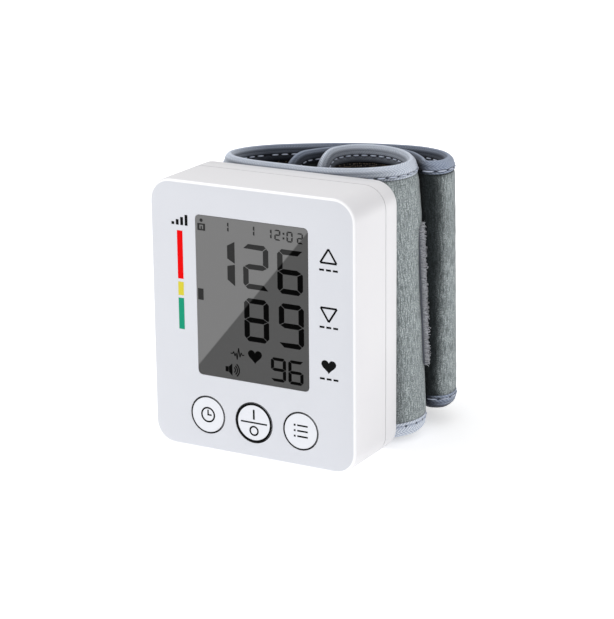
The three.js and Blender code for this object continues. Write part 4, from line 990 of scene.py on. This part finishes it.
def gap_shade_ring(name, x, inner, outer):
    """A black ring in the gap round a key, standing in for the gap's shade, with a rounded crest just under
    the face.
    """
    middle = (inner + outer) / 2
    half = (outer - inner) / 2
    crest = half * 0.6
    angles = [math.pi * k / 6 for k in range(7)]
    section = [(middle - half * math.cos(a), GAP_SHADE_RING_HIGH - crest * (1 - math.sin(a))) for a in angles]
    section = [(inner, GAP_SHADE_RING_LOW), *section, (outer, GAP_SHADE_RING_LOW)]
    n = len(section)
    points = []
    faces = []
    for i in range(GAP_SHADE_RING_SIDES):
        a = math.tau * i / GAP_SHADE_RING_SIDES
        for radius, rise in section:
            points.append((x + radius * math.cos(a), -rise, KEY_Z + radius * math.sin(a)))
        here = i * n
        there = (i + 1) % GAP_SHADE_RING_SIDES * n
        for k in range(n):
            after = (k + 1) % n
            faces.append((here + k, here + after, there + after, there + k))
    piece(name, points, faces, black_rubber, "housing", crease=60)


# Each key's gap gets a black ring that stands in for the gap's shade
for body, (x, radius) in keys.items():
    gap_shade_ring(f"{body}_lip", x, radius + 0.02, radius + 0.285)

for body, (x, radius) in keys.items():
    width = 0.62 if body == "middle_key" else 0.2
    stamped(f"{body}_ring", ring_outlines(x, KEY_Z, radius - 0.02, radius - width), black_ink, body)

# Each mark's outlines, from the middle of its key
list_rows = [bar(-1.1, z - 0.23, 2.2, z + 0.23) for z in (-1.6, 0, 1.6)]
list_dots = [bar(-2.2, z - 0.28, -1.64, z + 0.28) for z in (-1.6, 0, 1.6)]
key_marks = [
    ("middle_key", "line", [bar(-4.2, -0.22, 4.2, 0.22)]),
    ("middle_key", "on", [bar(-0.28, 0.95, 0.28, 3.85)]),
    ("middle_key", "off", ring_outlines(0, -2.4, 1.5, 1.02)),
    ("left_key", "dial", ring_outlines(0, 0, 2.3, 1.82)),
    ("left_key", "hand", [bar(-0.22, -0.22, 0.22, 1.5)]),
    ("left_key", "short_hand", [bar(0.22, -0.22, 1.15, 0.22)]),
    ("right_key", "list", list_rows + list_dots),
]
for body, mark, shapes in key_marks:
    outlines = [[(keys[body][0] + x, KEY_Z + z) for x, z in shape] for shape in shapes]
    stamped(f"{body}_{mark}", outlines, black_ink, body)


# The cuff

CUFF_REACH = 68
CUFF_DEPTH = 40
CUFF_THICK = 3.5
CUFF_PITCH = 3.95
CUFF_SEAT_Y = 12.65
CUFF_LOW_Z = 1.3
CUFF_HEIGHT = 79
ROLL_FLARE = 4.4
ROLL_RISE = 1.3
FLAP_RAISE = 3.7
CUFF_CORNER = 12
TAPE_THICK = 0.3
TAPE_HEIGHT = 3.9
TAPE_INNER_HEIGHT = 4.9
SHEET_INSET = 2.05
FOLD_START_SHARE = 0.412
FOLD_END_SHARE = 0.498

# The cuff's route seen from above, from the short end's tip to the long end's tip: across as a share
# of the reach and in layers, back as a share of the depth and in layers, the lower edge's shift across
# and back as shares of the flare, the top edge's share of the roll's rise, the lower edge's of the raise
ROUTE = [
    [0.040, 0.00, 0.075, 1.5, 0.0, 0.0, 0.6, 0.00],
    [0.014, 0.00, 0.230, 1.6, 0.0, 0.0, 0.8, 0.00],
    [0.016, 0.00, 0.400, 1.6, 0.0, 0.0, 1.0, 0.00],
    [0.062, 0.00, 0.540, 1.6, 0.0, 0.0, 1.0, 0.00],
    [0.160, 0.00, 0.600, 1.6, 0.0, 0.0, 1.0, 0.00],
    [0.262, 0.00, 0.565, 1.6, 0.1, -0.1, 1.0, 0.10],
    [0.352, 0.00, 0.455, 1.5, 0.5, -0.2, 1.0, 0.20],
    [0.408, 0.00, 0.310, 1.2, 1.0, -0.3, 1.0, 0.25],
    [0.396, 0.00, 0.165, 0.9, 1.2, -0.3, 0.9, 0.20],
    [0.302, 0.00, 0.057, 0.6, 1.1, -0.4, 0.6, 0.00],
    [0.165, 0.00, 0.008, 0.5, 0.5, -0.1, 0.2, 0.00],
    [0.060, 0.00, 0.000, 0.5, 0.0, 0.0, 0.0, 0.00],
    [-0.050, 0.00, 0.000, 0.5, 0.0, 0.0, 0.0, 0.10],
    [-0.160, 0.00, 0.000, 0.5, 0.0, 0.0, 0.0, 0.25],
    [-0.255, 0.00, 0.017, 0.5, 0.0, 0.0, 0.0, 0.45],
    [-0.345, 0.00, 0.080, 0.5, 0.0, 0.0, 0.0, 0.65],
    [-0.386, 0.00, 0.185, 0.5, 0.0, 0.0, 0.0, 0.85],
    [-0.365, 0.00, 0.335, 0.6, 0.0, 0.0, 0.0, 0.95],
    [-0.290, 0.00, 0.445, 1.1, 0.0, 0.0, 0.0, 1.00],
    [-0.158, 0.00, 0.500, 2.2, 0.0, 0.0, 0.0, 1.00],
    [-0.005, 0.00, 0.555, 3.1, 0.0, 0.0, 0.0, 1.00],
    [0.165, 0.00, 0.600, 3.6, 0.0, 0.0, 0.0, 1.00],
    [0.303, 0.00, 0.630, 3.6, 0.1, 0.0, 0.0, 1.10],
    [0.374, 0.77, 0.585, 3.4, 0.25, 0.0, 0.0, 1.10],
    [0.392, 1.60, 0.490, 3.0, 0.3, 0.0, 0.0, 1.10],
    [0.392, 1.60, 0.380, 2.6, 0.3, 0.0, 0.0, 1.10],
    [0.362, 1.25, 0.372, 2.17, 0.3, 0.1, 0.0, 1.10],
    [0.325, 1.07, 0.465, 2.2, 0.1, 0.2, 0.0, 1.10],
    [0.250, 0.70, 0.560, 2.6, 0.0, 0.0, 0.0, 1.00],
    [0.150, 0.20, 0.595, 2.6, 0.0, 0.0, 0.0, 1.00],
    [0.045, -0.30, 0.535, 2.6, 0.0, 0.0, 0.0, 1.00],
    [-0.020, -0.60, 0.420, 2.3, 0.0, 0.0, 0.0, 1.00],
    [-0.060, -0.90, 0.290, 1.9, 0.0, 0.0, 0.0, 1.00],
    [-0.075, -0.90, 0.160, 1.7, 0.0, 0.0, 0.0, 1.00],
    [-0.066, -0.90, 0.060, 1.5, 0.0, 0.0, 0.0, 1.00],
]


def route_points(at_top):
    """The route's points along the cuff's top edge or its lower edge, in millimetres."""
    rows = np.array(ROUTE)
    x = rows[:, 0] * CUFF_REACH + rows[:, 1] * CUFF_PITCH
    start_y = CUFF_SEAT_Y - CUFF_PITCH / 2 + CUFF_THICK / 2
    y = start_y + rows[:, 2] * CUFF_DEPTH + rows[:, 3] * CUFF_PITCH
    if at_top:
        return np.column_stack([x, y, CUFF_LOW_Z + CUFF_HEIGHT - ROLL_RISE * (1 - rows[:, 6])])
    x = x + rows[:, 4] * ROLL_FLARE
    y = y + rows[:, 5] * ROLL_FLARE
    return np.column_stack([x, y, CUFF_LOW_Z + rows[:, 7] * FLAP_RAISE])


def smooth_curve(points, shares):
    """Places on the smooth line through the points, at shares of the way from first to last."""
    ends = [2 * points[0] - points[1], 2 * points[-1] - points[-2]]
    held = np.vstack([ends[0], points, ends[1]])
    place = shares * (len(points) - 1)
    knot = np.minimum(place.astype(int), len(points) - 2)
    w = (place - knot)[:, None]
    p0, p1, p2, p3 = [held[knot + i] for i in range(4)]
    steps = ((p0, p1), (p1, p2), (p2, p3))
    d0, d1, d2 = [np.linalg.norm(b - a, axis=1, keepdims=True) ** 0.5 for a, b in steps]
    m1 = d1 * ((p1 - p0) / d0 - (p2 - p0) / (d0 + d1) + (p2 - p1) / d1)
    m2 = d1 * ((p2 - p1) / d1 - (p3 - p1) / (d1 + d2) + (p3 - p2) / d2)
    return p1 + m1 * w + (3 * (p2 - p1) - 2 * m1 - m2) * w ** 2 + (2 * (p1 - p2) + m1 + m2) * w ** 3


def outward(edge):
    """The level direction square to an edge line, towards the cuff's pile side."""
    way = np.gradient(edge, axis=0)
    side = np.column_stack([-way[:, 1], way[:, 0], np.zeros(len(way))])
    return side / np.linalg.norm(side, axis=1, keepdims=True)


shares = np.linspace(0, 1, 2001)
top_edge = smooth_curve(route_points(True), shares)
low_edge = smooth_curve(route_points(False), shares)
run_along = np.concatenate([[0], np.cumsum(np.linalg.norm(np.diff(top_edge, axis=0), axis=1))])
top_out = outward(top_edge)
low_out = outward(low_edge)
CUFF_LENGTH = run_along[-1]
fold_start = FOLD_START_SHARE * CUFF_LENGTH
fold_end = FOLD_END_SHARE * CUFF_LENGTH


def along(table, run):
    """A table's rows at the given runs."""
    return np.stack([np.interp(run, run_along, table[:, i]) for i in range(3)], axis=-1)


def laid(run, height, out):
    """Where a point of the flat strip lies: its run, its height and how far out of the strip."""
    run = np.asarray(run, dtype=float)
    height = np.asarray(height, dtype=float)
    out = np.asarray(out, dtype=float)[..., None]
    up = (height / CUFF_HEIGHT)[..., None]
    low = along(low_edge, run) + along(low_out, run) * out
    top = along(top_edge, run) + along(top_out, run) * out
    return low + (top - low) * up


def corner_drop(run, start, end, corner, round_start, round_end):
    """How far a round corner draws an edge in at a run."""
    from_start = run - start if round_start else corner
    from_end = end - run if round_end else corner
    reach = min(from_start, from_end, corner)
    return corner - math.sqrt(max(0.0, corner ** 2 - (corner - reach) ** 2))


def ripple(run, height, size, seed):
    """A soft unevenness of the cloth, from -1 to 1, over lengths of about that size."""
    return noise.noise(Vector((run / size, height / size, seed)))


def laid_piece(name, places, faces, finish, body, flat=None):
    """A closed piece from places on the strip: the run, the height and how far out of the strip."""
    run, height, out = np.array(places).T
    made = piece(name, laid(run, height, out), faces, finish, body, flat)
    check_way(made)
    return made


def cloth(name, span, edges, outer, inner, finish, body, corner=0, rounds=(False, False), step=1.0):
    """A layer of the strip as one closed slab. outer and inner give the faces' places out of it."""
    start, end = span
    low, high = edges
    count = max(4, int((end - start) / step))
    runs = [start + (end - start) * i / count for i in range(count + 1)]
    if corner:
        turns = [corner * (1 - math.cos(k / 12 * math.pi / 2)) for k in range(12)]
        if rounds[0]:
            runs = [r for r in runs if r >= start + corner] + [start + t for t in turns]
        if rounds[1]:
            runs = [r for r in runs if r <= end - corner] + [end - t for t in turns]
        runs = sorted(runs)
    tall = max(4, int((high - low) / step))
    places = []
    for run in runs:
        drop = corner_drop(run, start, end, corner, *rounds) if corner else 0
        heights = [low + drop + (high - low - 2 * drop) * k / tall for k in range(tall + 1)]
        places += [(run, height, outer(run, height)) for height in heights]
        places += [(run, height, inner(run, height)) for height in reversed(heights)]
    n = 2 * (tall + 1)
    faces = []
    for i in range(len(runs) - 1):
        for k in range(n):
            a = i * n + k
            b = i * n + (k + 1) % n
            faces.append((a, a + n, b + n, b))
    last = (len(runs) - 1) * n
    for k in range(tall):
        faces.append((k, k + 1, n - 2 - k, n - 1 - k))
        faces.append((last + n - 1 - k, last + n - 2 - k, last + k + 1, last + k))
    return laid_piece(name, places, faces, finish, body, [place[:2] for place in places])


def edge_distance(run, height):
    """How far a point of the flat strip is from the strip's nearest edge."""
    sides = min(height, CUFF_HEIGHT - height)
    ends = min(run, CUFF_LENGTH - run)
    if sides < CUFF_CORNER and ends < CUFF_CORNER:
        return CUFF_CORNER - math.hypot(CUFF_CORNER - sides, CUFF_CORNER - ends)
    return min(sides, ends)


def swell(run, height, margin):
    """The share of its full loft that the cloth has: pinched at the tape, full further in."""
    share = min(1, max(0, (edge_distance(run, height) - margin + 0.2) / 2.2))
    return math.sin(share * math.pi / 2)


# How far the cloths' outer faces and backs lie out of the strip's middle, and how far each face swells
PILE_OUT = 1.32
PILE_LOFT = 0.42
PILE_BACK = 0.35
LINING_BACK = -0.95
LINING_OUT = -1.3
LINING_LOFT = 0.34
# The near roll's pile crowds together where it bends most, at a share of the length and at a height
CROWD_SHARE = 0.185
CROWD_HEIGHT = 63


def pile_face(run, height):
    """The pile's outer face: level with the tape, a little uneven."""
    full = swell(run, height, TAPE_HEIGHT)
    roll = math.exp(-((run / CUFF_LENGTH - CROWD_SHARE) / 0.03) ** 2)
    crowd = 0.6 * roll * math.exp(-((height - CROWD_HEIGHT) / 9) ** 2)
    uneven = 0.1 * ripple(run, height, 9, 1) + 0.06 * ripple(run, height, 2.6, 5)
    return PILE_OUT + full * (PILE_LOFT + crowd + uneven)


def lining_face(run, height):
    """The lining's face, on the side that lies on the wrist."""
    full = swell(run, height, TAPE_INNER_HEIGHT)
    uneven = 0.1 * ripple(run, height, 8, 9) + 0.03 * ripple(run, height, 2.2, 11)
    return LINING_OUT - full * (LINING_LOFT + uneven)


def level(out):
    """A face at the same place everywhere."""
    return lambda run, height: out


HALF = CUFF_THICK / 2
# How much wider the tape is along the lower edge, and how far out its narrow crest measures
LOWER_TAPE_EXTRA = 0.5
TIP_WIDTH = 1.1
# The stitches: how far in from the strip's edge, how long, and how their thread lies in the tape
STITCH_DEEP = 3.0
STITCH_LENGTH = 2.1
STITCH_SINK = 0.12
STITCH_RISE = 0.16
THREAD_RADIUS = 0.22
THREAD_SIDES = 6
THREAD_STEPS = 6


def tape_section():
    """The bound tape's cut: both its faces out to their edges, pinched to a narrow crest over the
    strip's edge. The inner side reaches further down, as the tape is folded there."""
    seam = [(3.55, HALF), (3.25, HALF - 0.05), (3.0, HALF - 0.1), (2.75, HALF - 0.05)]
    outside = [(TAPE_HEIGHT, HALF - 0.12), (TAPE_HEIGHT - 0.08, HALF - 0.03)] + seam
    inside = [(TAPE_INNER_HEIGHT, HALF - 0.12), (TAPE_INNER_HEIGHT - 0.08, HALF - 0.03), (4.2, HALF)] + seam
    crest = [HALF * math.cos(math.pi * k / 16) for k in range(17)]
    arc = [((out / TIP_WIDTH) ** 2, out) for out in crest]
    outer = outside + arc + [(d, -o) for d, o in reversed(inside)]
    core = HALF - TAPE_THICK
    turns = [math.pi * k / 8 for k in range(1, 8)]
    inner_arc = [(HALF - core * math.sin(a), core * math.cos(a)) for a in turns]
    inner = [(TAPE_HEIGHT, core), (HALF, core)] + inner_arc + [(HALF, -core), (TAPE_INNER_HEIGHT, -core)]
    return outer, inner[::-1]


def with_lengths(stops):
    """The stops, each with the length of edge before it."""
    gone = 0
    kept = [(0.0, *stops[0])]
    for a, b in zip(stops, stops[1:]):
        gone += math.hypot(b[0] - a[0], b[1] - a[1])
        kept.append((gone, *b))
    return kept


def outline_stops(seam, tip, step=0.75):
    """Stops from a seam along the lower edge, round the strip's tip and back along the top edge: the
    length so far, the run, the height, and the way inwards in run and in height."""
    way = 1 if tip > seam else -1
    straight = abs(tip - seam) - CUFF_CORNER
    count = int(straight / step)
    low_path = [(seam + way * straight * i / count, 0, 0, 1) for i in range(count + 1)]
    for k in range(1, 17):
        a = math.radians(-90 + way * 90 * k / 16)
        run = tip - way * CUFF_CORNER + CUFF_CORNER * math.cos(a)
        low_path.append((run, CUFF_CORNER * (1 + math.sin(a)), -math.cos(a), -math.sin(a)))
    rise = CUFF_HEIGHT - 2 * CUFF_CORNER
    count = int(rise / step)
    up_path = [(tip, CUFF_CORNER + rise * i / count, -way, 0) for i in range(1, count)]
    back = [(run, CUFF_HEIGHT - height, a, -b) for run, height, a, b in reversed(low_path)]
    return with_lengths(low_path + up_path + back)


def straight_stops(start, end, height, inward, step=0.75):
    """Stops along the top or the lower edge between two runs."""
    count = max(2, int((end - start) / step))
    return with_lengths([(start + (end - start) * i / count, height, 0, inward) for i in range(count + 1)])


def bind(name, stops, body, finish):
    """The tape along a path of stops, as one closed piece with a slightly uneven edge."""
    outer, inner = tape_section()
    section = outer + inner
    lengths = [0]
    for a, b in zip(section, section[1:]):
        lengths.append(lengths[-1] + math.hypot(b[0] - a[0], b[1] - a[1]))
    crest = lengths[min(range(len(outer)), key=lambda k: outer[k][0])]
    flat = []
    places = []
    for gone, run, height, in_run, in_height in stops:
        wander = 0.1 * noise.noise(Vector((gone / 6, 0.3, 2)))
        pull = 0.5 + 0.5 * math.cos(math.tau * gone / STITCH_PITCH)
        for (deep, out), across in zip(section, lengths):
            share = min(1, max(0, (deep - HALF) / (TAPE_HEIGHT - HALF)))
            sunk = 0.2 * pull * math.exp(-((deep - STITCH_DEEP) / 0.4) ** 2)
            moved = deep + (wander + LOWER_TAPE_EXTRA * max(0, in_height)) * share
            puff = 0.05 * noise.noise(Vector((gone / 3.5, out, 7)))
            level_out = math.copysign(abs(out) - sunk + puff * share, out) if out else out
            places.append((run + in_run * moved, height + in_height * moved, level_out))
            flat.append((gone, across - crest))
    return laid_piece(name, places, skin(len(stops), len(section)), finish, body, flat)


def stitches(name, stops, body):
    """The row of stitches on both faces of the tape: short lengths of thread, sunk at their ends."""
    gone = np.array([s[0] for s in stops])
    table = np.array([s[1:] for s in stops])
    lowered = LOWER_TAPE_EXTRA * (STITCH_DEEP - HALF) / (TAPE_HEIGHT - HALF)
    points = []
    faces = []
    for number in range(int(stops[-1][0] / STITCH_PITCH)):
        for face in (1, -1):
            faces += skin(THREAD_STEPS + 1, THREAD_SIDES, len(points))
            for k in range(THREAD_STEPS + 1):
                share = k / THREAD_STEPS
                where = (number + 0.5) * STITCH_PITCH + (share - 0.5) * STITCH_LENGTH
                run, height, in_run, in_height = [np.interp(where, gone, table[:, i]) for i in range(4)]
                line = STITCH_DEEP + lowered * max(0, in_height)
                rise = HALF - STITCH_SINK + STITCH_RISE * math.sin(math.pi * share)
                thick = THREAD_RADIUS * math.sqrt(max(0.03, 1 - (2 * share - 1) ** 4))
                for s in range(THREAD_SIDES):
                    a = math.tau * s / THREAD_SIDES
                    deep = line + thick * math.cos(a)
                    out = face * (rise + thick * math.sin(a))
                    points.append((run + in_run * deep, height + in_height * deep, out))
    return laid_piece(name, points, faces, thread, body)


def folding(made):
    """Bakes a piece of the fold's placement into its mesh."""
    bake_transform(made)


inset = SHEET_INSET
edges = (inset, CUFF_HEIGHT - inset)
corner = CUFF_CORNER - inset
spans = {
    "fixed": ((inset, fold_start), (True, False), "housing"),
    "fold": ((fold_start, fold_end), (False, False), None),
    "flap": ((fold_end, CUFF_LENGTH - inset), (False, True), "cuff_flap"),
}
for part, (span, rounds, body) in spans.items():
    turned_corner = corner if any(rounds) else 0
    grey = pile if part == "fixed" else flap_pile
    shape = (body, turned_corner, rounds)
    outer_cloth = cloth(f"pile_{part}", span, edges, pile_face, level(PILE_BACK), grey, *shape)
    inner_cloth = cloth(f"lining_{part}", span, edges, level(LINING_BACK), lining_face, mesh_cloth, *shape)
    for made, node in ((outer_cloth, f"cuff_outer_{part}"), (inner_cloth, f"cuff_lining_{part}")):
        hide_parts(node)
        if part == "fold":
            folding(made)

trims = {"fold": []}
bound_ends = [
    ("fixed", outline_stops(fold_start, 0), "housing", tape),
    ("flap", outline_stops(fold_end, CUFF_LENGTH), "cuff_flap", flap_tape),
]
for part, stops, body, finish in bound_ends:
    bound = bind(f"tape_{part}", stops, body, finish)
    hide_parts(f"cuff_binding_{part}")
    trims[part] = [bound, stitches(f"stitches_{part}", stops, body)]
for edge, height, inward in (("upper", CUFF_HEIGHT, -1), ("lower", 0, 1)):
    stops = straight_stops(fold_start, fold_end, height, inward)
    bound = bind(f"tape_fold_{edge}", stops, None, fold_tape)
    sewn = stitches(f"stitches_fold_{edge}", stops, None)
    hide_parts(f"cuff_binding_fold_{edge}")
    folding(bound)
    folding(sewn)
    trims["fold"] += [bound, sewn]

# The hook patch: a base strip on the pile with rows of small moulded hooks
HOOK_START = 0.177 * CUFF_LENGTH
HOOK_END = 0.198 * CUFF_LENGTH
HOOK_HEIGHT = 42
HOOK_LOW = (CUFF_HEIGHT - HOOK_HEIGHT) / 2
HOOK_HIGH = HOOK_LOW + HOOK_HEIGHT
HOOK_CORNER = 2
HOOK_BASE_OUT = 2.3
HOOK_BASE_BACK = 1.62
HOOK_PITCH = 0.62
HOOK_MARGIN = 0.15
HOOK_SIDES = 3
# The hooks start a little way inside the base
HOOK_FOOT = HOOK_BASE_OUT - 0.1
# A hook's line: shares of how far it leans across and up, and of how far it reaches out
HOOK_LINE = [(0, 0, 0), (0.15, 0.1, 0.55), (0.5, 0.4, 0.95), (0.85, 0.8, 1.0), (1.0, 1.0, 0.8)]


def hook_patch():
    """The strip's base, and its hooks: fine curved strands of uneven length, that lean all ways."""
    base = cloth("hook_patch_base", (HOOK_START, HOOK_END), (HOOK_LOW, HOOK_HIGH), level(HOOK_BASE_OUT),
                 level(HOOK_BASE_BACK), hook_ground, "housing", HOOK_CORNER, (True, True), 0.5)
    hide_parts("hook_patch")
    points = []
    faces = []
    across = int((HOOK_END - HOOK_START - 2 * HOOK_MARGIN) / HOOK_PITCH)
    tall = int((HOOK_HEIGHT - 2 * HOOK_MARGIN) / HOOK_PITCH)
    for i in range(across + 1):
        for k in range(tall + 1):
            run = HOOK_START + HOOK_MARGIN + i * HOOK_PITCH
            run += 0.4 * noise.noise(Vector((i * 1.7, k * 2.3, 4)))
            height = HOOK_LOW + HOOK_MARGIN + k * HOOK_PITCH
            height += 0.4 * noise.noise(Vector((i * 2.1, k * 1.3, 8)))
            drop = corner_drop(run, HOOK_START, HOOK_END, HOOK_CORNER, True, True)
            if not HOOK_LOW + drop < height < HOOK_HIGH - drop:
                continue
            lean = 1.5 * noise.noise(Vector((i * 3.1, k * 1.9, 6)))
            way = 1.3 * noise.noise(Vector((i * 2.7, k * 3.7, 12)))
            reach = 0.85 + 1.3 * abs(noise.noise(Vector((i * 1.3, k * 2.9, 9))))
            faces += skin(len(HOOK_LINE), HOOK_SIDES, len(points))
            for step, (share_across, share_up, share_out) in enumerate(HOOK_LINE):
                thick = 0.1 - 0.01 * step
                for s in range(HOOK_SIDES):
                    a = math.tau * s / HOOK_SIDES
                    place = run + way * share_across + thick * math.cos(a)
                    rise = height + lean * share_up + thick * math.sin(a)
                    points.append((place, rise, HOOK_FOOT + share_out * reach))
    return [base, laid_piece("hook_patch_hooks", points, faces, hooks, "housing")]


trims["fixed"] += hook_patch()

# The air bladder between the layers, with a thin welded rim
BLADDER_START = 0.07 * CUFF_LENGTH
BLADDER_END = 0.402 * CUFF_LENGTH
BLADDER_LOW = 5.9
BLADDER_HIGH = CUFF_HEIGHT - BLADDER_LOW
BLADDER_RIM = 2


def bladder_loft(run, height):
    """The bladder's share of its full thickness: thin at its welded rim."""
    to_edge = min(run - BLADDER_START, BLADDER_END - run, height - BLADDER_LOW, BLADDER_HIGH - height)
    return min(1, max(0, (to_edge - BLADDER_RIM) / 3))


bladder = cloth(
    "bladder", (BLADDER_START, BLADDER_END), (BLADDER_LOW, BLADDER_HIGH),
    lambda run, height: -0.5 + 0.13 * bladder_loft(run, height),
    lambda run, height: -0.7 - 0.15 * bladder_loft(run, height),
    film, "housing")
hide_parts("air_bladder")


# Floor and light, in metres

FLOOR_HALF = 8
ROOM_LIGHT = 0.64
LIGHT_TARGET = (0, 0.02, 0.04)

corners = [(-FLOOR_HALF, -FLOOR_HALF, 0), (FLOOR_HALF, -FLOOR_HALF, 0)]
corners += [(FLOOR_HALF, FLOOR_HALF, 0), (-FLOOR_HALF, FLOOR_HALF, 0)]
floor_data = bpy.data.meshes.new("floor")
floor_data.from_pydata(corners, [], [(0, 1, 2, 3)])
floor = placed("floor", floor_data, studio_floor(), None)

world = bpy.data.worlds.new("studio")
world.use_nodes = True
world.node_tree.nodes["Background"].inputs["Color"].default_value = (1.0, 1.0, 1.0, 1.0)
world.node_tree.nodes["Background"].inputs["Strength"].default_value = ROOM_LIGHT
bpy.context.scene.world = world


def soft_light(name, place, size, power):
    """A large soft box that faces the object."""
    data = bpy.data.lights.new(name, "AREA")
    data.shape = "SQUARE"
    data.size = size
    data.energy = power
    made = bpy.data.objects.new(name, data)
    made.location = place
    made.rotation_mode = "QUATERNION"
    made.rotation_quaternion = (Vector(LIGHT_TARGET) - Vector(place)).to_track_quat("-Z", "Y")
    bpy.context.scene.collection.objects.link(made)


soft_light("light_above", (-0.95, -0.55, 1.7), 0.55, 18.0)
soft_light("light_right", (1.9, -0.2, 0.8), 1.2, 5.5)
